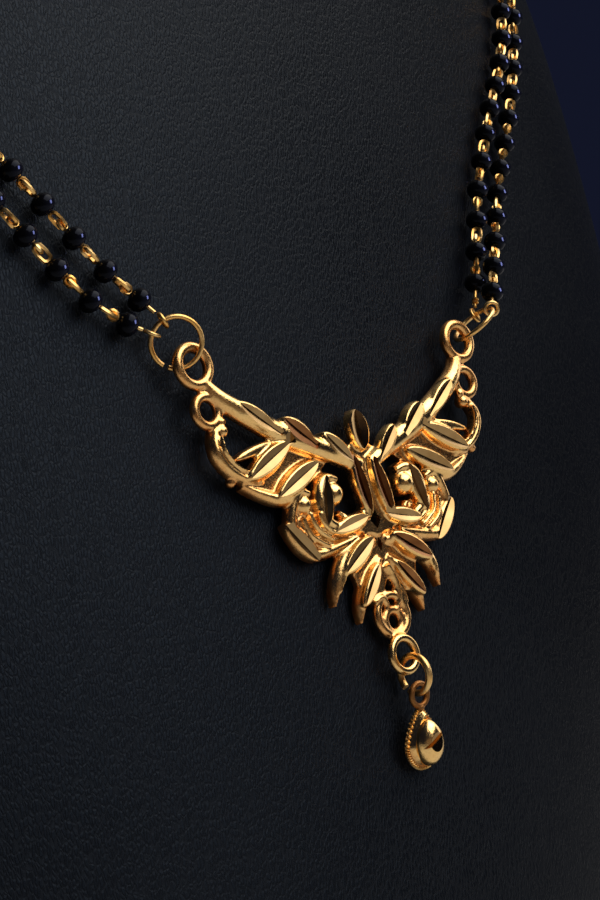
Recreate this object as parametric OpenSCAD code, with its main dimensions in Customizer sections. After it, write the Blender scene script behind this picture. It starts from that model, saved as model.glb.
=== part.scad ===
// Mangalsutra: two rows of black beads on gold wire each side of a cast gold
// pendant with a pear drop, laid on a plain leatherette neck bust.
// Millimetres, +Z up, the pendant faces -Y. The origin is under the bust's middle.

/* [Bust] */
// Height of the neck bust
bust_h = 232; // [225:1:260]
// Widest width of the chest
bust_w = 194; // [180:1:220]
// Depth of the foot, front to back
bust_d = 146; // [140:1:180]
// How far the chest leans back from upright, in degrees
recline = 18.6; // [15:0.1:21]
// Distance from the bust's middle forward to the chest, at the pendant
chest_reach = 49; // [45:1:54]

/* [Pendant] */
// Width of the pendant between the centres of its end loops
span_w = 37.2; // [35:0.2:40]
// Height above the floor of the point where the pendant's wings meet
pendant_z = 85; // [80:1:90]
// Thickness of the thin plate between the leaves
plate_t = 0.8; // [0.6:0.1:1]
// Height of the highest leaf above the pendant's back
relief_h = 2.6; // [2.2:0.1:3]
// Outer diameter of each end loop
loop_d = 4.8; // [4.5:0.1:5]
// Wire thickness of each end loop
loop_wire = 1.1; // [0.9:0.05:1.2]
// Outer diameter of the fixed loop under the pendant
foot_loop_d = 4.2; // [4:0.1:4.6]
// Wire thickness of the fixed loop under the pendant
foot_loop_wire = 0.9; // [0.7:0.05:1]

/* [Jump rings] */
// Outer diameter of the two rings that hold the strands
ring_d = 5.4; // [5.2:0.1:5.8]
// Wire diameter of those rings
ring_wire = 0.5; // [0.4:0.05:0.6]
// Lean of the left ring out of the chest's plane, in degrees
left_lean = 34; // [33:1:45]
// Lift of the right ring's line out of the chest's plane, in degrees
right_lift = 24; // [20:1:26]
// Lean of the right ring about that line, in degrees
right_lean = 86; // [80:1:90]
// Outer diameter of the ring that holds the drop
drop_ring_d = 4.4; // [4.3:0.1:4.6]
// Wire diameter of the ring that holds the drop
drop_ring_wire = 0.7; // [0.6:0.05:0.75]

/* [Strands] */
// Diameter of a bead
bead_d = 2.5; // [2.3:0.05:2.6]
// Diameter of the hole through a bead
bead_hole_d = 1.55; // [1.5:0.05:1.65]
// Distance from one bead to the next along a strand
bead_pitch = 4.2; // [4:0.1:5]
// Diameter of the wire chain that runs through the beads
chain_d = 1.1; // [0.9:0.05:1.15]
// Outer diameter of the eye at each end of a strand
eye_d = 1.8; // [1.7:0.05:2]
// Wire diameter of those eyes
eye_wire = 0.4; // [0.3:0.05:0.45]

/* [Drop] */
// Width of the pear drop
drop_w = 5; // [4.6:0.1:5.4]
// Height of the pear drop without its bail
drop_h = 6.2; // [5.8:0.1:6.6]
// Thickness of the drop's flat back
drop_back_t = 1.2; // [1:0.1:1.4]
// Diameter of the dome on the drop
dome_d = 3.9; // [3.6:0.1:4.2]
// Height of the dome above the drop's back
dome_h = 1.5; // [1.2:0.1:1.7]
// Outer diameter of the drop's bail
bail_d = 2.8; // [2.7:0.05:3]
// Wire diameter of the drop's bail
bail_wire = 0.6; // [0.5:0.05:0.65]

/* [Clasp] */
// Length of the barrel clasp
clasp_l = 9; // [7:0.5:12]
// Diameter of the barrel clasp
clasp_d = 3.6; // [3:0.1:4]
// Outer diameter of the ring at each end of the clasp
clasp_ring_d = 4.6; // [4.4:0.1:5]
// Wire diameter of those rings
clasp_ring_wire = 0.6; // [0.5:0.05:0.7]

/* [Clearances] */
// Gap between the bust and what lies on it
seat_gap = 0.15; // [0.1:0.05:0.3]
// Gap between two pieces that nearly touch
joint_gap = 0.15; // [0.1:0.05:0.2]

/* [Hidden] */

gold = "goldenrod";
half = span_w / 2;

// Bust sections, bottom to top. Height is a share of bust_h and half width a
// share of bust_w / 2. The others are shares of bust_d / 2: how far the face
// stands behind the reclined chest line, the section's middle, and its back.
// [height, half_width, face_set, middle, back]
bust_sections = [
    [0.000, 0.86, 0.060, 0.02, 1.00],
    [0.120, 0.94, 0.000, 0.05, 1.00],
    [0.210, 0.98, 0.000, 0.10, 0.99],
    [0.370, 1.00, 0.000, 0.14, 0.97],
    [0.500, 0.96, 0.000, 0.20, 0.95],
    [0.585, 0.87, 0.000, 0.17, 0.94],
    [0.655, 0.745, -0.014, 0.17, 0.93],
    [0.725, 0.63, -0.054, 0.18, 0.92],
    [0.795, 0.58, -0.130, 0.18, 0.90],
    [0.885, 0.56, -0.240, 0.18, 0.88],
    [0.955, 0.55, -0.310, 0.18, 0.86],
    [0.985, 0.52, -0.310, 0.18, 0.83],
    [1.000, 0.44, -0.230, 0.18, 0.74],
];
bust_sides = 48;
bust_levels = [0, 0.02, for (i = [1:19]) 0.05 * i, 0.97, 0.985, 1];

// Routes of the strands on the bust, from the pendant round to the nape. The
// turn is the angle round the section in degrees, 0 at the front and 180 at the
// back, and the height is in millimetres. [turn, height]
inner_route = [
    [13.2, 99], [15.2, 102], [18.6, 108.5], [23.2, 116.5], [29, 123.5], [33, 129.5],
    [39, 137.5], [48, 147], [60, 157], [76, 165], [92, 170], [120, 174.5], [150, 177.5], [170, 178.5],
];
outer_route = [
    [14.5, 97.1], [17.2, 100.4], [21.7, 109], [27.1, 117], [31, 122.5], [34.4, 127.5],
    [40.5, 135.5], [49.5, 144.5], [61.5, 154], [76, 161.5], [92, 166.5], [120, 171], [150, 174], [170, 175.2],
];
nape_z = 176.8;
// The right strands leave their lifted ring above the skin, and meet the route
// at this point of it
right_start = 2;
route_steps = 5;
chain_sides = 8;

// Places on the pendant are shares of half, its half span, and heights are
// shares of relief_h. Each row of both_sides is also mirrored to the left.
loop_at = [1.000, 0.462];
foot_loop_at = [-0.032, -1.180];
foot_loop_z = 1.55;
loop_z = 0.3 + loop_wire / 2;

// Carved leaves with a bright-cut groove
// [x, y, length, width, turn, height]
side_leaves = [
    [0.694, 0.156, 0.27, 0.090, 38, 0.93],
    [0.435, 0.059, 0.22, 0.104, 41, 0.96],
    [0.188, -0.050, 0.22, 0.085, 46, 0.99],
    [0.740, -0.005, 0.27, 0.045, -14, 0.67],
    [0.672, -0.068, 0.33, 0.115, -26, 0.89],
    [0.505, -0.185, 0.33, 0.105, -25, 0.91],
    [0.328, -0.325, 0.23, 0.085, -76, 0.98],
    [0.199, -0.457, 0.25, 0.085, -12, 0.87],
    [0.548, -0.508, 0.25, 0.100, 50, 0.63],
    [0.205, -0.624, 0.28, 0.100, -32, 0.94],
    [0.148, -0.788, 0.25, 0.080, -50, 0.81],
];
centre_leaves = [
    [0.000, 0.030, 0.20, 0.130, 90, 1.00],
    [-0.068, -0.272, 0.31, 0.072, -84, 0.95],
    [0.080, -0.290, 0.33, 0.080, -81, 0.97],
];
leaf_overlap = 1.16;
leaf_flank = 1.30;
groove_depth = 0.30;

// Rounded scroll strands, each a run of [x, y, width, height]
side_strands = [
    [[0.955, 0.370, 0.070, 0.55], [0.880, 0.275, 0.095, 0.75], [0.770, 0.195, 0.115, 0.85],
        [0.620, 0.105, 0.120, 0.88], [0.480, 0.035, 0.120, 0.90], [0.320, -0.030, 0.115, 0.92],
        [0.180, -0.090, 0.105, 0.92], [0.040, -0.160, 0.090, 0.92]],
    [[0.930, 0.155, 0.050, 0.46], [0.985, 0.065, 0.065, 0.62], [0.980, -0.020, 0.070, 0.66],
        [0.915, -0.100, 0.070, 0.66], [0.820, -0.150, 0.060, 0.62], [0.730, -0.170, 0.045, 0.55]],
    [[0.855, -0.170, 0.045, 0.45], [0.750, -0.232, 0.065, 0.62], [0.640, -0.272, 0.075, 0.70],
        [0.540, -0.262, 0.070, 0.70], [0.450, -0.215, 0.060, 0.60]],
    [[0.225, -0.215, 0.055, 0.70], [0.300, -0.198, 0.065, 0.80], [0.365, -0.240, 0.070, 0.85],
        [0.385, -0.330, 0.075, 0.85], [0.355, -0.420, 0.070, 0.80], [0.280, -0.462, 0.060, 0.75]],
    [[0.085, -0.400, 0.040, 0.75], [0.135, -0.425, 0.045, 0.72], [0.200, -0.425, 0.045, 0.70],
        [0.262, -0.385, 0.035, 0.65]],
    [[0.440, -0.268, 0.050, 0.70], [0.505, -0.252, 0.060, 0.75], [0.555, -0.300, 0.065, 0.70],
        [0.590, -0.390, 0.065, 0.62], [0.585, -0.480, 0.070, 0.56], [0.520, -0.560, 0.075, 0.55],
        [0.430, -0.580, 0.075, 0.58], [0.300, -0.560, 0.070, 0.62], [0.160, -0.530, 0.055, 0.66]],
    [[0.470, -0.365, 0.035, 0.72], [0.440, -0.460, 0.045, 0.74], [0.340, -0.525, 0.040, 0.66]],
    [[0.415, -0.370, 0.030, 0.76], [0.395, -0.440, 0.038, 0.76], [0.330, -0.490, 0.034, 0.68]],
    [[0.520, -0.385, 0.035, 0.64], [0.485, -0.485, 0.045, 0.66], [0.380, -0.550, 0.040, 0.62]],
    [[0.040, -0.565, 0.060, 0.60], [0.160, -0.585, 0.110, 0.78], [0.280, -0.645, 0.115, 0.78],
        [0.365, -0.745, 0.085, 0.66], [0.400, -0.860, 0.020, 0.40]],
    [[0.030, -0.660, 0.060, 0.60], [0.125, -0.750, 0.105, 0.70], [0.205, -0.850, 0.095, 0.62],
        [0.240, -0.975, 0.020, 0.38]],
];
centre_strands = [
    [[0.000, -0.700, 0.050, 0.70], [0.045, -0.800, 0.050, 0.66], [0.040, -0.900, 0.045, 0.60],
        [0.010, -0.970, 0.035, 0.52]],
    [[0.020, -0.740, 0.045, 0.62], [0.085, -0.840, 0.045, 0.60], [0.100, -0.930, 0.045, 0.56]],
    [[-0.140, -0.885, 0.045, 0.55], [-0.075, -0.868, 0.040, 0.56], [-0.048, -0.915, 0.040, 0.54],
        [-0.065, -0.955, 0.035, 0.50]],
];

// Thin plates between the strands, in shares of half. Those on the centre line
// cross it, so that each fuses with its mirror image.
side_plates = [
    [[0.830, -0.135], [0.600, -0.020], [0.420, 0.010], [0.200, -0.080], [0.310, -0.160],
        [0.450, -0.220], [0.560, -0.260], [0.700, -0.235]],
    [[0.260, -0.450], [0.370, -0.270], [0.440, -0.300], [0.550, -0.370], [0.570, -0.480],
        [0.480, -0.560], [0.320, -0.550], [0.120, -0.520]],
    [[-0.020, -0.500], [0.170, -0.540], [0.260, -0.640], [0.220, -0.790], [0.150, -0.860],
        [0.040, -0.830], [-0.020, -0.740]],
    [[-0.020, -0.020], [0.060, -0.030], [0.130, -0.085], [0.095, -0.180], [0.080, -0.320],
        [0.100, -0.420], [0.180, -0.500], [-0.020, -0.540]],
];

// Balls at the ends of the scrolls. [x, y, diameter, height]
side_balls = [
    [0.270, -0.285, 0.145, 0.84],
    [0.490, -0.318, 0.110, 0.71],
    [0.915, 0.115, 0.075, 0.56],
    [0.905, 0.162, 0.050, 0.53],
    [0.955, -0.075, 0.060, 0.46],
    [0.918, -0.148, 0.060, 0.42],
];

// Small open scroll ring under each end loop, and the one at the foot
// [x, y, outer_diameter, width, height]
side_rings = [[0.978, 0.226, 0.205, 0.050, 0.51]];
centre_rings = [[-0.020, -0.965, 0.270, 0.050, 0.55]];

// Pierced diamonds on the centre line. [y, width, height]
diamonds = [[-0.452, 0.080, 0.105], [-0.587, 0.040, 0.070]];

// Smooth curve through one column of the section table
function knot(k, i) = bust_sections[i][k];
function secant(k, i) = (knot(k, i + 1) - knot(k, i)) / (knot(0, i + 1) - knot(0, i));
function knot_slope(k, i) =
    i == 0 ? secant(k, 0)
    : i == len(bust_sections) - 1 ? secant(k, i - 1)
    : (secant(k, i) + secant(k, i - 1)) / 2;
function ease(k, i, w, u) =
    knot(k, i) * (2 * u ^ 3 - 3 * u ^ 2 + 1) + knot(k, i + 1) * (3 * u ^ 2 - 2 * u ^ 3)
    + knot_slope(k, i) * w * (u ^ 3 - 2 * u ^ 2 + u) + knot_slope(k, i + 1) * w * (u ^ 3 - u ^ 2);
function row_under(s) =
    max([for (i = [0:len(bust_sections) - 2]) bust_sections[i][0] <= s ? i : 0]);
function at_share(k, s, i) =
    ease(k, i, knot(0, i + 1) - knot(0, i), (s - knot(0, i)) / (knot(0, i + 1) - knot(0, i)));

// One level of the bust: [z, half width, face, middle, back] in millimetres
function bust_level(s) =
    let (i = row_under(s), z = s * bust_h)
    [
        z,
        at_share(1, s, i) * bust_w / 2,
        (z - pendant_z) * tan(recline) - chest_reach + at_share(2, s, i) * bust_d / 2,
        at_share(3, s, i) * bust_d / 2,
        at_share(4, s, i) * bust_d / 2,
    ];
bust_table = [for (s = bust_levels) bust_level(s)];
bust_column = [for (k = [0:4]) [for (row = bust_table) [row[0], row[k]]]];

// Point on the bust's skin, and the direction straight out of it
function skin(turn, z) =
    let (side = lookup(z, bust_column[1]), face = lookup(z, bust_column[2]),
        middle = lookup(z, bust_column[3]), back = lookup(z, bust_column[4]))
    [
        side * sin(turn),
        middle - cos(turn) * (cos(turn) > 0 ? middle - face : back - middle),
        z,
    ];
function unit(v) = v / norm(v);
function out_of_skin(turn, z) =
    unit(cross(skin(turn + 2, z) - skin(turn - 2, z), skin(turn, z + 4) - skin(turn, z - 4)));
function mirrored(p, side) = [side * p.x, p.y, p.z];

// From the pendant's own frame, x across, y up the chest, z out of it, to the part's
function chest_place(p) =
    let (lift = p.z + seat_gap)
    [
        p.x,
        p.y * sin(recline) - lift * cos(recline) - chest_reach,
        p.y * cos(recline) + lift * sin(recline) + pendant_z,
    ];
module on_chest() {
    translate([0, -chest_reach, pendant_z])
        rotate([90 - recline, 0, 0])
            translate([0, 0, seat_gap])
                children();
}

// Closed solid through a run of rings that all have as many points
function loft_faces(rings, sides) = [
    [for (j = [0:sides - 1]) j],
    for (i = [0:rings - 2], j = [0:sides - 1])
        let (a = i * sides + j, b = i * sides + (j + 1) % sides)
        each [[a, a + sides, b], [b, a + sides, b + sides]],
    [for (j = [sides - 1:-1:0]) (rings - 1) * sides + j],
];
module loft(rings) {
    polyhedron([for (ring = rings) each ring], loft_faces(len(rings), len(rings[0])));
}

module torus(outer_d, wire_d) {
    rotate_extrude($fn = 32)
        translate([(outer_d - wire_d) / 2, 0])
            circle(d = wire_d, $fn = 16);
}

module facing(axis) {
    rotate([0, acos(unit(axis).z), atan2(axis.y, axis.x)])
        children();
}

// The bust's body
module bust() {
    color("#1d1e21")
        loft([for (row = bust_table)
            [for (j = [0:bust_sides - 1]) skin(360 * j / bust_sides, row[0])]]);
}

// Parts of the pendant. Each reaches a little below the pendant's back, which
// one flat cut then makes.
root = 0.2;
function share_point(run, i) = [run[i][0], run[i][1]] * half;
function run_direction(run, i) =
    unit(share_point(run, min(i + 1, len(run) - 1)) - share_point(run, max(i - 1, 0)));
function strand_ring(run, i) =
    let (c = share_point(run, i), d = run_direction(run, i), w = run[i][2] * half,
        h = run[i][3] * relief_h)
    [for (s = [[-0.5, -root], [0.5, -root], [0.5, 0.45], [0.24, 1], [-0.24, 1], [-0.5, 0.45]])
        [c.x - d.y * w * s[0], c.y + d.x * w * s[0], h * s[1]]];

module strand(run) {
    loft([for (i = [0:len(run) - 1]) strand_ring(run, i)]);
}

module almond(length, width) {
    polygon([for (s = [[-1, 0], [-0.5, -0.78], [0, -1], [0.5, -0.78], [1, 0], [0.5, 0.78], [0, 1], [-0.5, 0.78]])
        [s[0] * length / 2, s[1] * width / 2]]);
}

module leaf_place(row) {
    translate([row[0] * half, row[1] * half, 0])
        rotate([0, 0, row[4]])
            children();
}

module leaf_body(row) {
    height = row[5] * relief_h;
    leaf_place(row)
        translate([0, 0, -root * height])
            hull() {
                linear_extrude((0.5 + root) * height)
                    almond(row[2] * half * leaf_overlap, row[3] * half * leaf_flank);
                linear_extrude((1 + root) * height)
                    almond(row[2] * half * 0.86, row[3] * half * 0.70);
            }
}

// The V-shaped groove that a turning cutter leaves, widest and deepest midway
module leaf_groove(row) {
    stations = [-1, -0.5, 0, 0.5, 1];
    top = row[5] * relief_h + 0.02;
    depth = groove_depth * relief_h;
    leaf_place(row)
        loft([for (t = stations)
            let (bulge = 0.02 + 0.98 * (1 - t * t), x = t * row[2] * half / 2)
            [
                [x, -row[3] * half * bulge, top + depth * bulge],
                [x, 0, top - depth * bulge],
                [x, row[3] * half * bulge, top + depth * bulge],
            ]]);
}

module scroll_ring(row) {
    translate([row[0] * half, row[1] * half, 0])
        rotate_extrude($fn = 16)
            polygon([for (s = [[-0.5, -root], [0.5, -root], [0.5, 0.5], [0.2, 1], [-0.2, 1], [-0.5, 0.5]])
                [((row[2] - row[3]) / 2 + s[0] * row[3]) * half, s[1] * row[4] * relief_h]]);
}

module scroll_ball(row) {
    translate([row[0] * half, row[1] * half, 0])
        hull() {
            translate([0, 0, row[3] * relief_h - row[2] * half / 2])
                sphere(d = row[2] * half, $fn = 10);
            translate([0, 0, -root])
                cylinder(d = row[2] * half * 0.8, h = root, $fn = 10);
        }
}

module cast_loop(at, outer_d, wire_d, z) {
    translate([at[0] * half, at[1] * half, z])
        rotate_extrude($fn = 16)
            translate([(outer_d - wire_d) / 2, 0])
                circle(d = wire_d, $fn = 6);
}

module both_sides() {
    for (side = [0, 1])
        mirror([side, 0, 0])
            children();
}

module pendant_bodies() {
    both_sides() {
        for (run = side_strands) strand(run);
        for (row = side_leaves) leaf_body(row);
        for (row = side_rings) scroll_ring(row);
        for (row = side_balls) scroll_ball(row);
        cast_loop(loop_at, loop_d, loop_wire, loop_z);
    }
    translate([0, 0, -root])
        linear_extrude(plate_t + root)
            both_sides()
                for (plate = side_plates)
                    polygon(plate * half);
    for (run = centre_strands) strand(run);
    for (row = centre_leaves) leaf_body(row);
    for (row = centre_rings) scroll_ring(row);
    cast_loop(foot_loop_at, foot_loop_d, foot_loop_wire, foot_loop_z);
}

module pendant_cuts() {
    both_sides()
        for (row = side_leaves) leaf_groove(row);
    for (row = centre_leaves) leaf_groove(row);
    for (row = diamonds)
        translate([0, row[0] * half, -1])
            linear_extrude(relief_h + 2)
                polygon([[-row[1] / 2, 0], [0, -row[2] / 2], [row[1] / 2, 0], [0, row[2] / 2]] * half);
    translate([-span_w, -span_w, -relief_h])
        cube([2 * span_w, 2 * span_w, relief_h]);
}

module pendant() {
    color(gold)
        on_chest()
            difference() {
                pendant_bodies();
                pendant_cuts();
            }
}

// Jump rings between the end loops and the strands. The line from loop to ring
// runs across and up the chest at a pull angle, the right one also lifts off the
// chest, and each ring leans about its line.
left_pull = 60;
right_pull = 36;
ring_r = (ring_d - ring_wire) / 2;
ring_reach = 2.75;

function ring_lean(side) = side < 0 ? left_lean : right_lean;
function ring_line(side) =
    let (pull = side < 0 ? left_pull : right_pull, lift = side < 0 ? 0 : right_lift)
    [side * cos(pull) * cos(lift), sin(pull) * cos(lift), sin(lift)];
function ring_cross(side) =
    let (line = ring_line(side), level = unit([-line.y, line.x, 0]))
    level * cos(ring_lean(side)) + cross(line, level) * side * sin(ring_lean(side));
function ring_centre(side) =
    [side * loop_at[0] * half, loop_at[1] * half, loop_z] + ring_reach * ring_line(side);

// Point of the ring's wire at an angle from the line, in the pendant's frame
function ring_point(side, angle) =
    ring_centre(side) + ring_r * (ring_line(side) * cos(angle) + ring_cross(side) * sin(angle));
function ring_tangent(side, angle) =
    ring_cross(side) * cos(angle) - ring_line(side) * sin(angle);

module jump_ring(side) {
    color(gold)
        on_chest()
            translate(ring_centre(side))
                facing(cross(ring_line(side), ring_cross(side)))
                    torus(ring_d, ring_wire);
}
module ring_left() { jump_ring(-1); }
module ring_right() { jump_ring(1); }

// The clasp lies across the nape, with a ring soldered to each end
nape = skin(180, nape_z);
clasp_y = nape.y + seat_gap + clasp_d / 2;
clasp_ring_r = (clasp_ring_d - clasp_ring_wire) / 2;
clasp_ring_x = clasp_l / 2 + clasp_ring_r;
function clasp_point(side, angle) = [
    side * (clasp_ring_x + clasp_ring_r * cos(angle)),
    clasp_y,
    nape_z + clasp_ring_r * sin(angle),
];
function clasp_tangent(side, angle) = [-side * sin(angle), 0, cos(angle)];

module barrel(length, diameter) {
    bevel = diameter / 4;
    rotate([0, 90, 0])
        rotate_extrude($fn = 32)
            polygon([
                [0, -length / 2], [diameter / 2 - bevel, -length / 2], [diameter / 2, bevel - length / 2],
                [diameter / 2, length / 2 - bevel], [diameter / 2 - bevel, length / 2], [0, length / 2],
            ]);
}

module clasp() {
    color(gold) {
        translate([0, clasp_y, nape_z])
            barrel(clasp_l, clasp_d);
        for (side = [-1, 1])
            translate([side * clasp_ring_x, clasp_y, nape_z])
                rotate([90, 0, 0])
                    torus(clasp_ring_d, clasp_ring_wire);
    }
}

// Strands. Row 0 is the inner one, nearer the neck, and row 1 the outer.
routes = [inner_route, outer_route];
left_eyes = [-4, 34];
right_eyes = [-52, 16];
clasp_angles = [24, -24];
eye_reach = eye_d / 2 + joint_gap;
chain_lift = bead_d / 2 + 1.5 * seat_gap;

function eye_angle(side, row) = (side < 0 ? left_eyes : right_eyes)[row];
function eye_at_ring(side, row) = chest_place(ring_point(side, eye_angle(side, row)));
function eye_at_clasp(side, row) = clasp_point(side, clasp_angles[row]);

function bent(a, b, c, d, u) =
    b + u * (c - a) / 2 + u * u * (a - 2.5 * b + 2 * c - d / 2) + u ^ 3 * (1.5 * (b - c) + (d - a) / 2);
function route_point(route, i, u) =
    bent(route[max(i - 1, 0)], route[i], route[i + 1], route[min(i + 2, len(route) - 1)], u);
function on_skin(side, at) =
    mirrored(skin(at[0], at[1]) + out_of_skin(at[0], at[1]) * chain_lift, side);
function route_line(side, route) = [
    for (i = [side < 0 ? 0 : right_start:len(route) - 2], n = [0:route_steps - 1])
        on_skin(side, route_point(route, i, n / route_steps)),
    on_skin(side, route[len(route) - 1]),
];
function towards(from, to, reach) = from + unit(to - from) * reach;
function strand_line(side, row) =
    let (line = route_line(side, routes[row]), start = eye_at_ring(side, row), end = eye_at_clasp(side, row))
    [towards(start, line[0], eye_reach), each line, towards(end, line[len(line) - 1], eye_reach)];

// Length along a line up to each of its points, and the point at a length
function run_lengths(line) = [
    for (i = 0, s = 0; i < len(line); i = i + 1, s = i < len(line) ? s + norm(line[i] - line[i - 1]) : s) s,
];
function at_length(line, lengths, s) = [
    for (k = [0:2]) lookup(s, [for (i = [0:len(line) - 1]) [lengths[i], line[i][k]]]),
];

// Where a strand's wire chain starts, where its beads sit, and where it ends. The
// leads are in bead diameters: at the jump ring [inner, outer], and at the clasp.
left_leads = [0.75, 0.62];
right_leads = [1.25, 0.65];
clasp_lead = 0.9;
function strand_spots(side, row) =
    let (line = strand_line(side, row), lengths = run_lengths(line), total = lengths[len(lengths) - 1],
        first = (side < 0 ? left_leads : right_leads)[row] * bead_d,
        count = floor((total - first - clasp_lead * bead_d) / bead_pitch) + 1)
    [
        line[0],
        for (n = [0:count - 1]) at_length(line, lengths, first + n * bead_pitch),
        line[len(line) - 1],
    ];
function spot_direction(spots, i) =
    let (last = len(spots) - 1, next = min(i + 1, last), before = max(i - 1, 0))
    unit(unit(spots[next] - spots[next - 1]) + unit(spots[before + 1] - spots[before]));

module bead() {
    difference() {
        sphere(d = bead_d, $fn = 24);
        cylinder(d = bead_hole_d, h = 2 * bead_d, center = true, $fn = 24);
    }
}

module beads(side, row) {
    spots = strand_spots(side, row);
    color("#0b0b0c")
        for (i = [1:len(spots) - 2])
            translate(spots[i])
                facing(spot_direction(spots, i))
                    bead();
}
module beads_left_inner() { beads(-1, 0); }
module beads_left_outer() { beads(-1, 1); }
module beads_right_inner() { beads(1, 0); }
module beads_right_outer() { beads(1, 1); }

module chain(side, row) {
    spots = strand_spots(side, row);
    color(gold)
        loft([for (i = [0:len(spots) - 1])
            let (d = spot_direction(spots, i), across = unit(cross(d, [0, 0, 1])), up = cross(across, d))
            [for (j = [0:chain_sides - 1])
                let (a = 360 * j / chain_sides)
                spots[i] + chain_d / 2 * (up * cos(a) + across * sin(a))]]);
}
module chain_left_inner() { chain(-1, 0); }
module chain_left_outer() { chain(-1, 1); }
module chain_right_inner() { chain(1, 0); }
module chain_right_outer() { chain(1, 1); }

module end_eyes() {
    color(gold)
        for (side = [-1, 1], row = [0, 1]) {
            tangent = ring_tangent(side, eye_angle(side, row));
            translate(eye_at_ring(side, row))
                rotate([90 - recline, 0, 0])
                    facing(tangent)
                        torus(eye_d, eye_wire);
            translate(eye_at_clasp(side, row))
                facing(clasp_tangent(side, clasp_angles[row]))
                    torus(eye_d, eye_wire);
        }
}

// The drop hangs nearer to upright than the chest, from a ring through the foot loop
drop_ring_r = (drop_ring_d - drop_ring_wire) / 2;
foot_bar_y = foot_loop_at[1] * half - (foot_loop_d - foot_loop_wire) / 2;
drop_ring_drop = 0.24;
drop_ring_z = joint_gap + drop_ring_d / 2;
drop_ring_y = foot_bar_y - drop_ring_drop * drop_ring_r;
drop_x = foot_loop_at[0] * half;
drop_tilt = 11;

module drop_ring() {
    color(gold)
        on_chest()
            translate([drop_x, drop_ring_y, drop_ring_z])
                rotate([0, 90, 0])
                    torus(drop_ring_d, drop_ring_wire);
}

// The drop's parts, in its own frame: y up, with the point of the pear at y = 0
bail_r = (bail_d - bail_wire) / 2;
bail_sag = 0.15 * bail_r;
bail_sink = 0.2 * bail_wire;
twist_d = 0.7;
twists = 20;
pear_w = drop_w - twist_d;
pear_h = drop_h - twist_d / 2;
pear_tip_d = 0.32 * pear_w;
dome_y = drop_w / 2 - drop_h;
notch_turn = 28;
notch_side = 0.9 * dome_h;

module bail() {
    translate([0, bail_r + bail_sink, drop_back_t / 2])
        rotate_extrude($fn = 16)
            translate([bail_r, 0])
                circle(d = bail_wire, $fn = 6);
}

module pear() {
    hull() {
        translate([0, pear_w / 2 - pear_h]) circle(d = pear_w, $fn = 24);
        translate([0, -pear_tip_d / 2]) circle(d = pear_tip_d, $fn = 10);
    }
}

module dome() {
    translate([0, dome_y, drop_back_t + dome_h - dome_d / 2])
        intersection() {
            sphere(d = dome_d, $fn = 18);
            translate([0, 0, dome_d / 2 - dome_h / 2])
                cube([dome_d, dome_d, dome_h + drop_back_t], center = true);
        }
}

module dome_notch() {
    translate([0, dome_y, drop_back_t + dome_h])
        rotate([0, 0, notch_turn])
            rotate([45, 0, 0])
                cube([2 * dome_d, notch_side, notch_side], center = true);
}

// Rope edge: short leaning twists round the pear, drawn in towards its point
function pear_edge(a) =
    let (pull = max(0, -cos(a)) ^ 1.6)
    [
        sin(a) * pear_w / 2 * (1 - 0.72 * pull),
        (pear_w / 2 - pear_h - cos(a) * pear_w / 2) * (1 - pull) - pear_w * 0.05 * pull,
    ];
module twist(a, b) {
    hull() {
        translate([each pear_edge(a), 0.3 * twist_d])
            sphere(d = twist_d, $fn = 6);
        translate([each pear_edge(b), drop_back_t - 0.3 * twist_d])
            sphere(d = twist_d, $fn = 6);
    }
}

module drop() {
    color(gold)
        on_chest()
            translate([drop_x, drop_ring_y - drop_ring_r, drop_ring_z])
                rotate([drop_tilt, 0, 0])
                    translate([0, -bail_sag - bail_r - bail_sink, -drop_back_t / 2]) {
                        bail();
                        difference() {
                            union() {
                                linear_extrude(drop_back_t) pear();
                                dome();
                            }
                            dome_notch();
                        }
                        for (n = [0:twists - 1])
                            twist(360 * (n + 0.5) / twists, 360 * (n + 1.1) / twists);
                    }
}

bust();
pendant();
ring_left();
ring_right();
beads_left_inner();
beads_left_outer();
beads_right_inner();
beads_right_outer();
chain_left_inner();
chain_left_outer();
chain_right_inner();
chain_right_outer();
end_eyes();
drop_ring();
drop();
clasp();
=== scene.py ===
# %% [markdown]
# A black-bead mangalsutra laid on a leatherette neck bust.
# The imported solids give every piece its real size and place, in metres, and
# this lesson dresses them: a cast and bright-cut gold pendant, open jump rings,
# glossy beads on looped gold wire, and a grained cover for the bust.

import math
import random

import bmesh
import bpy
from mathutils import Matrix, Vector


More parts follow.
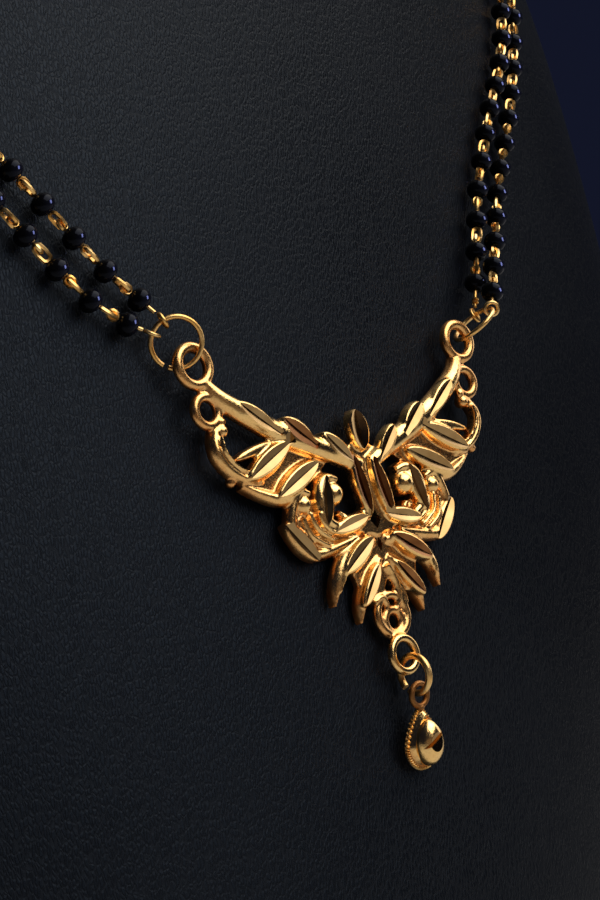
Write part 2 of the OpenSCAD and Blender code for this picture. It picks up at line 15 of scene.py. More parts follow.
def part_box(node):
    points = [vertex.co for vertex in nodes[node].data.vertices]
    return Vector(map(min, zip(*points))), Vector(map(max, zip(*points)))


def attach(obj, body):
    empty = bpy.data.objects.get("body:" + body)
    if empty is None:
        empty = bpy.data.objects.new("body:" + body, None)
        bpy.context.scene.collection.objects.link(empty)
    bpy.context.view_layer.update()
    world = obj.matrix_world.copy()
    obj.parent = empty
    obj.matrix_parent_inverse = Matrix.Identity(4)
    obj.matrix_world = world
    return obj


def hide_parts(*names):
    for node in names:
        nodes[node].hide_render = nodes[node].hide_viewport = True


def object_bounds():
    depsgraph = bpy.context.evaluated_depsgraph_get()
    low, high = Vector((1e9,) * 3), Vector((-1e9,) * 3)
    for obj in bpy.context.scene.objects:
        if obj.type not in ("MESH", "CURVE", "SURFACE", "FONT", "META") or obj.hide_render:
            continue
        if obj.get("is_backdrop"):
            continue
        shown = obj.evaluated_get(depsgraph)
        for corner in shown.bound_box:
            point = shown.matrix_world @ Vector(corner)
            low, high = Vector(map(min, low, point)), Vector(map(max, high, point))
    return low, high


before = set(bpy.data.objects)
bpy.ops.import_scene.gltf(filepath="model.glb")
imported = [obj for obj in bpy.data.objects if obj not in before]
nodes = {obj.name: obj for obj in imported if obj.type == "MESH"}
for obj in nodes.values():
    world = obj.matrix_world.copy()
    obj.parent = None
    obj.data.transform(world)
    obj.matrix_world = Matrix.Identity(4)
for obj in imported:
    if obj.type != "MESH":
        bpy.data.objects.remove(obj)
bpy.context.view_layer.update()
bpy.ops.object.select_all(action="DESELECT")

# %% [markdown]
# Jewellery is too small to model in metres by eye, so each piece is made in
# millimetres on a bench at the origin, with X across, Y up the chest and Z out
# of it. One matrix then sets it on the reclined chest, in metres.

# %% The bench and the chest
MM = 0.001
RECLINE = math.radians(18.6)
CHEST_REACH, PENDANT_Z, SEAT_GAP = 49.0, 85.0, 0.15
BENCH = Matrix.Scale(MM, 4)
ON_CHEST = (
    BENCH
    @ Matrix.Translation((0, -CHEST_REACH, PENDANT_Z))
    @ Matrix.Rotation(math.radians(90) - RECLINE, 4, "X")
    @ Matrix.Translation((0, 0, SEAT_GAP))
)


def chest(x, y, z):
    return ON_CHEST @ Vector((x, y, z))


print("the pendant's middle is at", [round(v / MM, 1) for v in chest(0, 0, 0)], "mm")

# %% [markdown]
# The photograph looks at the pendant from its left and a little above, so close
# that the near strand is cut off by the frame. The camera is fixed first, and
# every later choice is judged through it.

# %% Camera
CAMERA_PLACE = Vector((-155.23, -199.64, 113.95)) * MM
CAMERA_TURN, CAMERA_TILT, CAMERA_ROLL = [math.radians(angle) for angle in (-44.6669, 82.1019, -0.005)]
camera_data = bpy.data.cameras.new("camera")
camera_data.lens = 88.05
camera_data.sensor_width = 36
camera_data.clip_start = 0.01
camera = bpy.data.objects.new("camera", camera_data)
bpy.context.scene.collection.objects.link(camera)
camera.matrix_world = (
    Matrix.Translation(CAMERA_PLACE)
    @ Matrix.Rotation(CAMERA_TURN, 4, "Z")
    @ Matrix.Rotation(CAMERA_TILT, 4, "X")
    @ Matrix.Rotation(CAMERA_ROLL, 4, "Z")
)
bpy.context.scene.camera = camera
print("camera is", round((camera.location - chest(0, 0, 0)).length / MM), "mm from the pendant")

# %% [markdown]
# A gold surface shows what surrounds it, so the light is the finish. One big
# soft panel above the right shoulder lights everything. It gives the bright
# facets, and the shadows that fall left and down. A second one lights the back.
# A photographer sets small cards for one piece at a time, and light linking does
# the same here: the side and front panels reach only the cast gold, the cover
# panel only the leatherette, and the bead panel only the beads.

# %% Lights
relief_pieces = bpy.data.collections.new("relief_pieces")
cover_pieces = bpy.data.collections.new("cover_pieces")
bead_pieces = bpy.data.collections.new("bead_pieces")


def soft_panel(name, direction, distance, along, size, power, colour, lit_only=None, spread=180):
    """A panel in that direction from the pendant, with its long way along a given line."""
    data = bpy.data.lights.new(name, "AREA")
    data.shape = "RECTANGLE"
    data.size, data.size_y = size
    data.energy = power
    data.color = colour
    data.spread = math.radians(spread)
    panel = bpy.data.objects.new(name, data)
    bpy.context.scene.collection.objects.link(panel)
    towards = Vector(direction).normalized()
    across = towards.cross(Vector(along)).normalized()
    turned = Matrix((across.cross(towards), across, towards)).transposed()
    panel.matrix_world = Matrix.Translation(chest(0, -4, 1) + towards * distance) @ turned.to_4x4()
    panel.light_linking.receiver_collection = lit_only
    print(name, [round(v, 2) for v in panel.location])


soft_panel("key_panel", (0.34, -0.36, 0.87), 0.60, (0.76, 0.65, 0), (0.90, 0.56),
           2.6, (1.0, 0.965, 0.90), spread=120)
soft_panel("side_panel", (0.93, 0.08, 0.33), 0.60, (0, 0, 1), (0.50, 0.40),
           0.95, (1.0, 0.93, 0.82), relief_pieces)
soft_panel("front_panel", (-0.17, -0.97, 0.05), 0.90, (1, 0, 0), (1.40, 0.60),
           0.34, (1.0, 0.72, 0.48), relief_pieces)
soft_panel("cover_panel", (0.10, -0.85, 0.50), 0.90, (1, 0, 0), (0.90, 0.60),
           3.4, (0.80, 0.88, 1.0), cover_pieces)
soft_panel("bead_panel", (0.71, -0.64, 0.28), 0.60, (0, 0, 1), (0.28, 0.20),
           9.0, (0.44, 0.48, 1.0), bead_pieces)
soft_panel("back_panel", (-0.25, 0.85, 0.45), 0.90, (1, 0, 0), (0.90, 0.60),
           2.5, (1.0, 0.96, 0.90))

world = bpy.data.worlds.new("studio")
bpy.context.scene.world = world
world.use_nodes = True
background = world.node_tree.nodes["Background"]
background.inputs["Color"].default_value = (0.30, 0.38, 0.95, 1)
background.inputs["Strength"].default_value = 0.02
bpy.context.scene.view_settings.view_transform = "Standard"

# %% [markdown]
# Every finish is built from the same few nodes, so each kind has a small helper.
# An input is linked if it is given a socket and set if it is given a value.

# %% Helpers for nodes


def feed(tree, socket, value):
    if isinstance(value, bpy.types.NodeSocket):
        tree.links.new(value, socket)
    else:
        socket.default_value = value


def set_inputs(tree, node, **inputs):
    """Links or sets inputs by name, with _ for each space."""
    for name, value in inputs.items():
        feed(tree, node.inputs[name.replace("_", " ")], value)
    return node


def new_material(name):
    material = bpy.data.materials.new(name)
    material.use_nodes = True
    tree = material.node_tree
    return material, tree, tree.nodes["Principled BSDF"]


def math_node(tree, operation, first, second, clamp=False):
    node = tree.nodes.new("ShaderNodeMath")
    node.operation = operation
    node.use_clamp = clamp
    feed(tree, node.inputs[0], first)
    feed(tree, node.inputs[1], second)
    return node.outputs[0]


def vector_node(tree, operation, first, second):
    node = tree.nodes.new("ShaderNodeVectorMath")
    node.operation = operation
    feed(tree, node.inputs[0], first)
    feed(tree, node.inputs[1], second)
    return node.outputs


def blend_colours(tree, factor, first, second):
    node = tree.nodes.new("ShaderNodeMix")
    node.data_type = "RGBA"
    factor_and_colours = (0, 6, 7)
    for index, value in zip(factor_and_colours, (factor, first, second)):
        feed(tree, node.inputs[index], value)
    return node.outputs[2]


def stretch(tree, value, low, high, to_low=0.0, to_high=1.0):
    """The value with low to high stretched to a new range, and clamped to it."""
    node = tree.nodes.new("ShaderNodeMapRange")
    set_inputs(tree, node, Value=value, From_Min=low, From_Max=high, To_Min=to_low, To_Max=to_high)
    return node.outputs["Result"]


# %% [markdown]
# All textures are placed by the object's own coordinates, in metres, so a grain
# of 0.3 mm is one of 0.3 mm on every piece. Noise stands for what chance did to
# a surface, and a bump turns its height into light and shade without new faces.
# An effect that is whole in itself is a node group, which gives out only values
# that change over the surface.

# %% Helpers for textures and groups


def object_place(tree):
    return tree.nodes.new("ShaderNodeTexCoord").outputs["Object"]


def texture_scale(tree, size_mm):
    if isinstance(size_mm, bpy.types.NodeSocket):
        return math_node(tree, "DIVIDE", 1 / MM, size_mm)
    return 1 / MM / size_mm


def noise(tree, place, size_mm, detail=2.0, rough=0.5):
    node = tree.nodes.new("ShaderNodeTexNoise")
    scale = texture_scale(tree, size_mm)
    set_inputs(tree, node, Vector=place, Scale=scale, Detail=detail, Roughness=rough)
    return node.outputs["Fac"]


def bump(tree, height, strength, distance_mm):
    node = tree.nodes.new("ShaderNodeBump")
    set_inputs(tree, node, Strength=strength, Distance=distance_mm * MM, Height=height)
    return node.outputs["Normal"]


def new_group(name, inputs, outputs):
    group = bpy.data.node_groups.new(name, "ShaderNodeTree")
    for label in inputs:
        group.interface.new_socket(label, in_out="INPUT", socket_type="NodeSocketFloat")
    for label in outputs:
        group.interface.new_socket(label, in_out="OUTPUT", socket_type="NodeSocketFloat")
    return group, group.nodes.new("NodeGroupInput"), group.nodes.new("NodeGroupOutput")


def use_group(tree, group, **values):
    node = tree.nodes.new("ShaderNodeGroup")
    node.node_tree = group
    return set_inputs(tree, node, **values)


# %% [markdown]
# Sand casting leaves two sizes of unevenness: soft waves a millimetre long and
# sharp little pits where the sand was. The group gives a height for the bump
# and a mask of the pits, which also hold a little dark polish.

# %% Cast skin group
cast_skin, skin_in, skin_out = new_group(
    "cast_skin", ["Wave mm", "Pit mm", "Pits"], ["Height", "Pit mask", "Blotch"]
)
skin_place = object_place(cast_skin)
waves = noise(cast_skin, skin_place, skin_in.outputs["Wave mm"])
grit = noise(cast_skin, skin_place, skin_in.outputs["Pit mm"], 4.0, 0.65)
pits = stretch(cast_skin, grit, 0.36, 0.50, 1.0, 0.0)
pit_depth = math_node(cast_skin, "MULTIPLY", pits, skin_in.outputs["Pits"])
uneven = math_node(cast_skin, "ADD", waves, math_node(cast_skin, "MULTIPLY", grit, 0.5))
set_inputs(
    cast_skin,
    skin_out,
    Height=math_node(cast_skin, "SUBTRACT", uneven, pit_depth),
    Pit_mask=math_node(cast_skin, "MULTIPLY", pit_depth, 1.0, clamp=True),
    Blotch=waves,
)
print("cast skin group has", len(cast_skin.nodes), "nodes")

# %% [markdown]
# The relief is polished where a cloth reaches, and its hollows are redder and darker: partly tarnish, and
# partly painted shade. How far a point stands out of the chest tells the two apart, and a dot product with
# the chest's normal measures it.

# %% Relief depth group
relief_depth, depth_in, depth_out = new_group("relief_depth", ["Low mm", "High mm"], ["Raised"])
out_of_chest = (ON_CHEST.to_3x3() @ Vector((0, 0, 1))).normalized()
reach_out = vector_node(relief_depth, "DOT_PRODUCT", object_place(relief_depth), tuple(out_of_chest))["Value"]
lift = math_node(relief_depth, "SUBTRACT", reach_out, chest(0, 0, 0).dot(out_of_chest))
lift_mm = math_node(relief_depth, "MULTIPLY", lift, 1 / MM)
raised = stretch(relief_depth, lift_mm, depth_in.outputs["Low mm"], depth_in.outputs["High mm"])
set_inputs(relief_depth, depth_out, Raised=raised)
print("relief is measured along", [round(v, 2) for v in out_of_chest])

# %% [markdown]
# Cast gold is a warm yellow with a satin skin. Its roughness and colour follow the relief: worn bright on
# top, coppery and duller in the hollows and pits. The darker, coppery colour of the hollows is partly tarnish
# and partly painted shade.

# %% Cast gold
YELLOW_GOLD = (1.0, 0.64, 0.245, 1)
BRIGHT_GOLD = (1.0, 0.72, 0.32, 1)
RED_GOLD = (0.64, 0.18, 0.028, 1)
DARK_POLISH = (0.26, 0.085, 0.018, 1)


def cast_gold(name, low, high, pit_depth, top_rough, hollow_rough, hollow, top, blotch):
    """Gold that changes from one height of the relief, in mm, to another."""
    material, tree, shader = new_material(name)
    skin = use_group(tree, cast_skin, Wave_mm=1.1, Pit_mm=0.22, Pits=pit_depth)
    raised_here = use_group(tree, relief_depth, Low_mm=low, High_mm=high).outputs["Raised"]
    # painted shade: the hollows get a darker, redder colour, partly tarnish
    shade_and_wear = blend_colours(tree, stretch(tree, raised_here, 0.1, 0.9), hollow, top)
    blotches = stretch(tree, skin.outputs["Blotch"], 0.35, 0.7, 0.0, 0.35)
    blotched = blend_colours(tree, blotches, shade_and_wear, blotch)
    in_pits = math_node(tree, "MULTIPLY", skin.outputs["Pit mask"], 0.55)
    duller = math_node(tree, "MULTIPLY", skin.outputs["Pit mask"], 0.2)
    worn_rough = stretch(tree, raised_here, 0.0, 1.0, hollow_rough, top_rough)
    set_inputs(
        tree,
        shader,
        Base_Color=blend_colours(tree, in_pits, blotched, DARK_POLISH),
        Roughness=math_node(tree, "ADD", worn_rough, duller),
        Metallic=1.0,
        Normal=bump(tree, skin.outputs["Height"], 0.23, 0.05),
    )
    return material


pendant_gold = cast_gold("cast_gold", 0.3, 2.1, 0.30, 0.17, 0.34, RED_GOLD, YELLOW_GOLD, BRIGHT_GOLD)
print("made", pendant_gold.name)

# %% [markdown]
# A turning diamond tool leaves facets that are almost mirrors, with hair-fine lines along the cut and none of
# the casting's pits. Their colour is painted darker than satin gold, as painted shade for the dim
# surroundings that they mirror. Five of the cuts get a second finish, painted darker and browner still, also
# as painted shade.

# %% Bright-cut gold


def cut_gold(name, shade, light):
    material, tree, shader = new_material(name)
    place = object_place(tree)
    cloud = noise(tree, place, 2.4)
    set_inputs(
        tree,
        shader,
        Base_Color=blend_colours(tree, stretch(tree, cloud, 0.35, 0.65), shade, light),
        Metallic=1.0,
        Roughness=stretch(tree, cloud, 0.3, 0.7, 0.12, 0.20),
        Normal=bump(tree, noise(tree, place, 0.9), 0.12, 0.03),
    )
    return material


# painted shade: both cut golds are darker than cast gold, the second darker and browner still
facet_gold = cut_gold("bright_cut_gold", (0.36, 0.215, 0.085, 1), (0.46, 0.30, 0.135, 1))
painted_shade_cut_gold = cut_gold("painted_shade_bright_cut_gold", (0.17, 0.065, 0.022, 1), (0.34, 0.15, 0.055, 1))
print("made", facet_gold.name, "and", painted_shade_cut_gold.name)

# %% [markdown]
# Drawn wire is smoother than casting. It keeps faint draw lines and scuffs from
# wear, and picks up a warm film where links rub.

# %% Wire gold


def drawn_wire_gold():
    material, tree, shader = new_material("wire_gold")
    place = object_place(tree)
    scuffs = noise(tree, place, 0.5, 4.0, 0.65)
    film = stretch(tree, noise(tree, place, 2.0), 0.35, 0.65)
    set_inputs(
        tree,
        shader,
        Base_Color=blend_colours(tree, film, (0.78, 0.42, 0.11, 1), (0.97, 0.66, 0.28, 1)),
        Metallic=1.0,
        Roughness=stretch(tree, scuffs, 0.3, 0.7, 0.24, 0.42),
        Normal=bump(tree, scuffs, 0.25, 0.02),
    )
    return material


wire_gold = drawn_wire_gold()
print("made", wire_gold.name)

# %% [markdown]
# The beads are black glass. The colour is nearly nothing: what shows is one
# small bluish highlight, softened by fine handling marks.

# %% Black bead glass


def black_glass():
    material, tree, shader = new_material("black_bead_glass")
    marks = noise(tree, object_place(tree), 0.6, 3.0, 0.6)
    set_inputs(
        tree,
        shader,
        Base_Color=blend_colours(tree, marks, (0.0016, 0.0016, 0.0018, 1), (0.0034, 0.0034, 0.0040, 1)),
        Roughness=stretch(tree, marks, 0.3, 0.7, 0.08, 0.16),
        Normal=bump(tree, marks, 0.08, 0.02),
        IOR=1.5,
        Specular_IOR_Level=0.08,
        Specular_Tint=(0.66, 0.74, 1.0, 1),
    )
    return material


bead_glass = black_glass()
print("made", bead_glass.name)

# %% [markdown]
# The cover is embossed leatherette: small raised cells, four or five times as
# long as they are wide, with valleys between. A slow wander bends their rows,
# and a finer noise on each cell keeps it from looking printed.

# %% Grain group
grain, grain_in, grain_out = new_group("leatherette_grain", ["Cell mm"], ["Height", "Valley"])
grain_place = object_place(grain)
lengthen = grain.nodes.new("ShaderNodeMapping")
set_inputs(grain, lengthen, Scale=(1.0, 1.0, 0.22), Vector=grain_place)
long_place = lengthen.outputs["Vector"]
wander = grain.nodes.new("ShaderNodeTexNoise")
set_inputs(grain, wander, Vector=grain_place, Scale=420.0, Detail=2.0)
small_wander = vector_node(grain, "MULTIPLY", wander.outputs["Color"], (0.4 * MM,) * 3)["Vector"]
cells = grain.nodes.new("ShaderNodeTexVoronoi")
cells.feature = "DISTANCE_TO_EDGE"
wandering = vector_node(grain, "ADD", long_place, small_wander)["Vector"]
set_inputs(grain, cells, Vector=wandering, Scale=texture_scale(grain, grain_in.outputs["Cell mm"]))
plateau = stretch(grain, cells.outputs["Distance"], 0.0, 0.22)
fine = math_node(grain, "MULTIPLY", noise(grain, long_place, 0.18, 3.0, 0.6), 0.35)
set_inputs(
    grain,
    grain_out,
    Height=math_node(grain, "ADD", plateau, fine),
    Valley=math_node(grain, "SUBTRACT", 1.0, plateau),
)
print("grain group has", len(grain.nodes), "nodes")

# %% [markdown]
# The leatherette is dyed through, nearly black and a little blue. Broad soft
# clouds from the roll change its colour and its sheen, and the valleys between
# the cells are duller and hold some dust.

# %% Leatherette


def black_leatherette():
    material, tree, shader = new_material("black_leatherette")
    cell = use_group(tree, grain, Cell_mm=0.30)
    valley = cell.outputs["Valley"]
    roll = noise(tree, object_place(tree), 45.0, 3.0)
    clouds = stretch(tree, roll, 0.3, 0.7)
    dyed = blend_colours(tree, clouds, (0.0016, 0.0020, 0.0030, 1), (0.0032, 0.0038, 0.0054, 1))
    dust = math_node(tree, "MULTIPLY", valley, 0.5)
    sheen = stretch(tree, roll, 0.3, 0.7, 0.30, 0.37)
    set_inputs(
        tree,
        shader,
        Base_Color=blend_colours(tree, dust, dyed, (0.004, 0.004, 0.005, 1)),
        Roughness=math_node(tree, "ADD", sheen, math_node(tree, "MULTIPLY", valley, 0.2)),
        Normal=bump(tree, cell.outputs["Height"], 0.62, 0.04),
        Specular_IOR_Level=0.122,
        Specular_Tint=(0.72, 0.84, 1.0, 1),
    )
    return material


leatherette = black_leatherette()
print("made", leatherette.name)

# %% [markdown]
# Operators work on what is selected, so each piece is made the only selected thing before one runs. A
# finished piece has its place in its mesh, rides on the body and hides the imported node that it stands for.
# Its triangles are counted too.

# %% Bench helpers


def only(piece):
    bpy.ops.object.select_all(action="DESELECT")
    piece.select_set(True)
    bpy.context.view_layer.objects.active = piece


def apply_modifier(piece, kind, **settings):
    only(piece)
    modifier = piece.modifiers.new(kind.lower(), kind)
    for name, value in settings.items():
        setattr(modifier, name, value)
    bpy.ops.object.modifier_apply(modifier=modifier.name)


def cover_with(piece, material):
    piece.data.materials.clear()
    piece.data.materials.append(material)


def dress(piece, material, angle):
    """One material all over, and smooth shading where faces meet at less than the angle."""
    only(piece)
    bpy.ops.object.shade_smooth_by_angle(angle=math.radians(angle), keep_sharp_edges=True)
    cover_with(piece, material)


def finish_piece(piece, name, node, lit_with=None):
    piece.name = piece.data.name = name
    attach(piece, "root")
    if lit_with:
        lit_with.objects.link(piece)
    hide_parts(node)
    piece.data.calc_loop_triangles()
    print(name, len(piece.data.loop_triangles), "triangles")


# %% [markdown]
# The bust's solid is a coarse loft. Its cover is a merged copy of that mesh,
# turned back into four-sided faces and subdivided, so that the leatherette
# bends without flats. Creases keep the foot's rim firm on the floor.

# %% Bust cover
only(nodes["bust"])
bpy.ops.object.duplicate()
cover = bpy.context.view_layer.objects.active
for key in list(cover.keys()):
    del cover[key]
cover.parent = None
bpy.ops.object.mode_set(mode="EDIT")
bpy.ops.mesh.select_all(action="SELECT")
bpy.ops.mesh.remove_doubles(threshold=1e-6)
bpy.ops.mesh.dissolve_limited(angle_limit=math.radians(0.05))
bpy.ops.mesh.tris_convert_to_quads(face_threshold=math.radians(40), shape_threshold=math.radians(40))
bpy.ops.object.mode_set(mode="OBJECT")
crease = cover.data.attributes.new("crease_edge", "FLOAT", "EDGE")
verts = cover.data.vertices
floor_edges = [e.index for e in cover.data.edges if all(verts[v].co.z < 0.3 * MM for v in e.vertices)]
for index in floor_edges:
    crease.data[index].value = 1.0
print("bust cover has", len(cover.data.polygons), "faces before subdivision,", len(floor_edges), "rim edges")
apply_modifier(cover, "SUBSURF", levels=2, render_levels=2)
dress(cover, leatherette, 50)
finish_piece(cover, "bust_cover", "bust", cover_pieces)

# %% [markdown]
# The floor is one large plain sheet of pale card.

# %% Floor


def add_shape(add, **settings):
    """A new primitive, with its place and size applied to its mesh."""
    add(**settings)
    piece = bpy.context.view_layer.objects.active
    only(piece)
    bpy.ops.object.transform_apply(location=True, rotation=True, scale=True)
    return piece


floor = add_shape(bpy.ops.mesh.primitive_plane_add, size=3.0, location=(0, 0, 0))
floor.name = "floor"
card, card_tree, card_shader = new_material("pale_floor")
card_tint = noise(card_tree, object_place(card_tree), 60.0, 3.0)
card_colour = blend_colours(card_tree, card_tint, (0.66, 0.65, 0.63, 1), (0.72, 0.71, 0.69, 1))
set_inputs(card_tree, card_shader, Base_Color=card_colour, Roughness=0.6)
cover_with(floor, card)
floor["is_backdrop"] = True
print("the floor is", round(floor.dimensions.x, 1), "m wide")

# %% [markdown]
# The pendant was carved in wax as overlapping scrolls and leaves, cast in one piece, and then cut bright. The
# same order is kept here. Each scroll is a rounded strip that follows a short given line, with a flat back,
# so it is swept from a profile. Places are shares of the half span, as in the model's source: x, y, width,
# and height as a share of the highest leaf.

# %% Sweeping a rounded strip
HALF, RELIEF = 18.6, 2.6
STRIP_DEEP, BELOW_BACK = 1.35, 0.25
D_PROFILE = [
    (-0.50, 0.0), (-0.52, 0.28), (-0.47, 0.55), (-0.34, 0.80), (-0.17, 0.95), (0.0, 1.0),
    (0.17, 0.95), (0.34, 0.80), (0.47, 0.55), (0.52, 0.28), (0.50, 0.0),
]


def eased(run, steps=4):
    """The run with a smooth curve through its rows."""
    rows = [Vector(row) for row in run]
    padded = rows[:1] + rows + rows[-1:]
    line = []
    for a, b, c, d in zip(padded, padded[1:], padded[2:], padded[3:]):
        for n in range(steps):
            u = n / steps
            bend = a - 2.5 * b + 2 * c - d / 2
            twist = 1.5 * (b - c) + (d - a) / 2
            line.append(b + u * (c - a) / 2 + u * u * bend + u ** 3 * twist)
    line.append(rows[-1])
    return line


def foot_under(top):
    """The bottom of a form: under its top, and at most a little past the flat back."""
    return max(-BELOW_BACK, top - STRIP_DEEP)


def strip_section(width, top):
    foot = foot_under(top)
    return [(across * width, foot + up * (top - foot)) for across, up in D_PROFILE]


def skin(mesh, rings, endless=False):
    """Faces over rings of vertices, with flat ends or with the last ring joined to the first."""
    count = len(rings[0])
    for first, second in zip(rings, rings[1:] + rings[:1] if endless else rings[1:]):
        for j in range(count):
            k = (j + 1) % count
            mesh.faces.new((first[j], first[k], second[k], second[j]))
    if not endless:
        mesh.faces.new(rings[0][::-1])
        mesh.faces.new(rings[-1])


def sweep(mesh, line, section):
    """A closed strip along rows of x, y, width and height, in millimetres."""
    padded = [line[0], *line, line[-1]]
    rings = []
    for behind, (x, y, width, top), ahead in zip(padded, line, padded[2:]):
        along = Vector((ahead[0] - behind[0], ahead[1] - behind[1])).normalized()
        rings.append([
            mesh.verts.new((x - along.y * across, y + along.x * across, up))
            for across, up in section(width, top)
        ])
    skin(mesh, rings)


print("a strip's section has", len(D_PROFILE), "points")

# %% [markdown]
# The scrolls of one wing and one half of the tail, from the end loop inwards
# and down. Their mirror images make the other half. The foot's curl is the one
# part that is not mirrored. Thin plates close the ground between the scrolls.

# %% Scrolls
# x, y, width and height, all in shares
SIDE_SCROLLS = {
    "stem": [
        (0.955, 0.370, 0.075, 0.55), (0.880, 0.275, 0.100, 0.74), (0.770, 0.195, 0.118, 0.83),
        (0.620, 0.105, 0.122, 0.86), (0.480, 0.035, 0.120, 0.88), (0.320, -0.030, 0.115, 0.90),
        (0.180, -0.090, 0.105, 0.90), (0.040, -0.160, 0.090, 0.90),
    ],
    "wing_rim": [
        (0.930, 0.155, 0.050, 0.46), (0.985, 0.065, 0.062, 0.62), (0.980, -0.020, 0.066, 0.66),
        (0.915, -0.100, 0.066, 0.66), (0.820, -0.150, 0.056, 0.62), (0.730, -0.170, 0.045, 0.55),
    ],
    "wing_rim_lip": [
        (0.955, 0.085, 0.022, 0.74), (0.950, 0.000, 0.026, 0.76), (0.890, -0.075, 0.026, 0.74),
        (0.800, -0.122, 0.022, 0.68),
    ],
    "lower_wing": [
        (0.855, -0.170, 0.045, 0.45), (0.750, -0.232, 0.065, 0.62), (0.640, -0.272, 0.075, 0.70),
        (0.540, -0.262, 0.070, 0.70), (0.450, -0.215, 0.060, 0.60),
    ],
    "scroll": [
        (0.225, -0.215, 0.055, 0.70), (0.300, -0.198, 0.065, 0.80), (0.365, -0.240, 0.070, 0.85),
        (0.385, -0.330, 0.075, 0.85), (0.355, -0.420, 0.070, 0.80), (0.280, -0.462, 0.060, 0.75),
    ],
    "scroll_foot": [
        (0.085, -0.400, 0.040, 0.75), (0.135, -0.425, 0.045, 0.72), (0.200, -0.425, 0.045, 0.70),
        (0.262, -0.385, 0.035, 0.65),
    ],
    "shell": [
        (0.440, -0.268, 0.050, 0.70), (0.505, -0.252, 0.060, 0.75), (0.555, -0.300, 0.065, 0.70),
        (0.590, -0.390, 0.062, 0.62), (0.585, -0.480, 0.066, 0.56), (0.520, -0.560, 0.072, 0.55),
        (0.430, -0.580, 0.075, 0.58), (0.300, -0.560, 0.070, 0.62), (0.165, -0.528, 0.055, 0.66),
    ],
    "shell_ridge_1": [
        (0.470, -0.365, 0.032, 0.74), (0.440, -0.460, 0.040, 0.76), (0.340, -0.525, 0.036, 0.68),
    ],
    "shell_ridge_2": [
        (0.415, -0.370, 0.028, 0.80), (0.395, -0.440, 0.034, 0.79), (0.330, -0.490, 0.030, 0.70),
    ],
    "shell_ridge_3": [
        (0.520, -0.385, 0.032, 0.66), (0.485, -0.485, 0.040, 0.68), (0.380, -0.550, 0.036, 0.66),
    ],
    "upper_petal": [
        (0.040, -0.565, 0.060, 0.60), (0.160, -0.585, 0.105, 0.76), (0.280, -0.645, 0.112, 0.76),
        (0.365, -0.745, 0.080, 0.64), (0.402, -0.865, 0.016, 0.36),
    ],
    "lower_petal": [
        (0.030, -0.660, 0.060, 0.60), (0.125, -0.750, 0.100, 0.68), (0.205, -0.850, 0.090, 0.60),
        (0.242, -0.978, 0.016, 0.34),
    ],
    "petal_vein": [
        (0.090, -0.560, 0.030, 0.80), (0.190, -0.610, 0.034, 0.84), (0.300, -0.690, 0.030, 0.76),
        (0.372, -0.800, 0.020, 0.58),
    ],
}
CENTRE_SCROLLS = {
    "tail_rib": [
        (0.000, -0.700, 0.048, 0.72), (0.040, -0.790, 0.046, 0.68), (0.046, -0.880, 0.040, 0.62),
        (0.012, -0.950, 0.032, 0.54),
    ],
    "tail_rib_right": [
        (0.020, -0.740, 0.040, 0.66), (0.080, -0.830, 0.042, 0.62), (0.098, -0.915, 0.040, 0.57),
    ],
    "tail_rib_middle": [
        (0.010, -0.760, 0.026, 0.62), (0.062, -0.850, 0.026, 0.60), (0.068, -0.930, 0.024, 0.55),
    ],
    "foot_curl": [
        (-0.140, -0.885, 0.050, 0.58), (-0.080, -0.862, 0.046, 0.60), (-0.046, -0.910, 0.042, 0.56),
        (-0.062, -0.952, 0.036, 0.50),
    ],
}
# each plate's floor and top in mm, and its outline in shares
PLATES = [
    ((0.4, 1.2), [
        (0.830, -0.135), (0.600, -0.020), (0.420, 0.010), (0.200, -0.080), (0.310, -0.160),
        (0.450, -0.220), (0.560, -0.260), (0.700, -0.235),
    ]),
    ((0.3, 1.1), [
        (0.260, -0.450), (0.370, -0.270), (0.440, -0.300), (0.550, -0.370), (0.570, -0.480),
        (0.480, -0.560), (0.320, -0.550), (0.120, -0.520),
    ]),
    ((0.3, 1.2), [
        (-0.020, -0.500), (0.170, -0.540), (0.260, -0.640), (0.220, -0.790), (0.150, -0.860),
        (0.040, -0.830), (-0.020, -0.740),
    ]),
    ((0.8, 1.5), [
        (-0.020, -0.020), (0.060, -0.030), (0.130, -0.085), (0.095, -0.180), (0.080, -0.320),
        (0.100, -0.420), (0.180, -0.500), (-0.020, -0.540),
    ]),
]


def add_plate(mesh, outline, levels):
    skin(mesh, [[mesh.verts.new((x * HALF, y * HALF, level)) for x, y in outline] for level in levels])


wax = bmesh.new()
for name, run in (SIDE_SCROLLS | CENTRE_SCROLLS).items():
    in_mm = [(x * HALF, y * HALF, width * HALF, height * RELIEF) for x, y, width, height in run]
    sweep(wax, eased(in_mm), strip_section)
    if name in SIDE_SCROLLS:
        sweep(wax, eased([(-row[0], *row[1:]) for row in in_mm]), strip_section)
for levels, outline in PLATES:
    add_plate(wax, outline, levels)
    add_plate(wax, [(-x, y) for x, y in reversed(outline)], levels)
print("scrolls and plates:", len(wax.faces), "faces")

# %% [markdown]
# Each leaf is a domed almond. Its row gives the middle, the length and width of
# the bright cut that it will carry, its turn in degrees, its height, and how
# far the cutter is rolled to one side, which decides which facet shines. The
# cutter is in a hand, so its roll differs between the right and the left half.
# The two leaves on the wings' rims stay uncut.

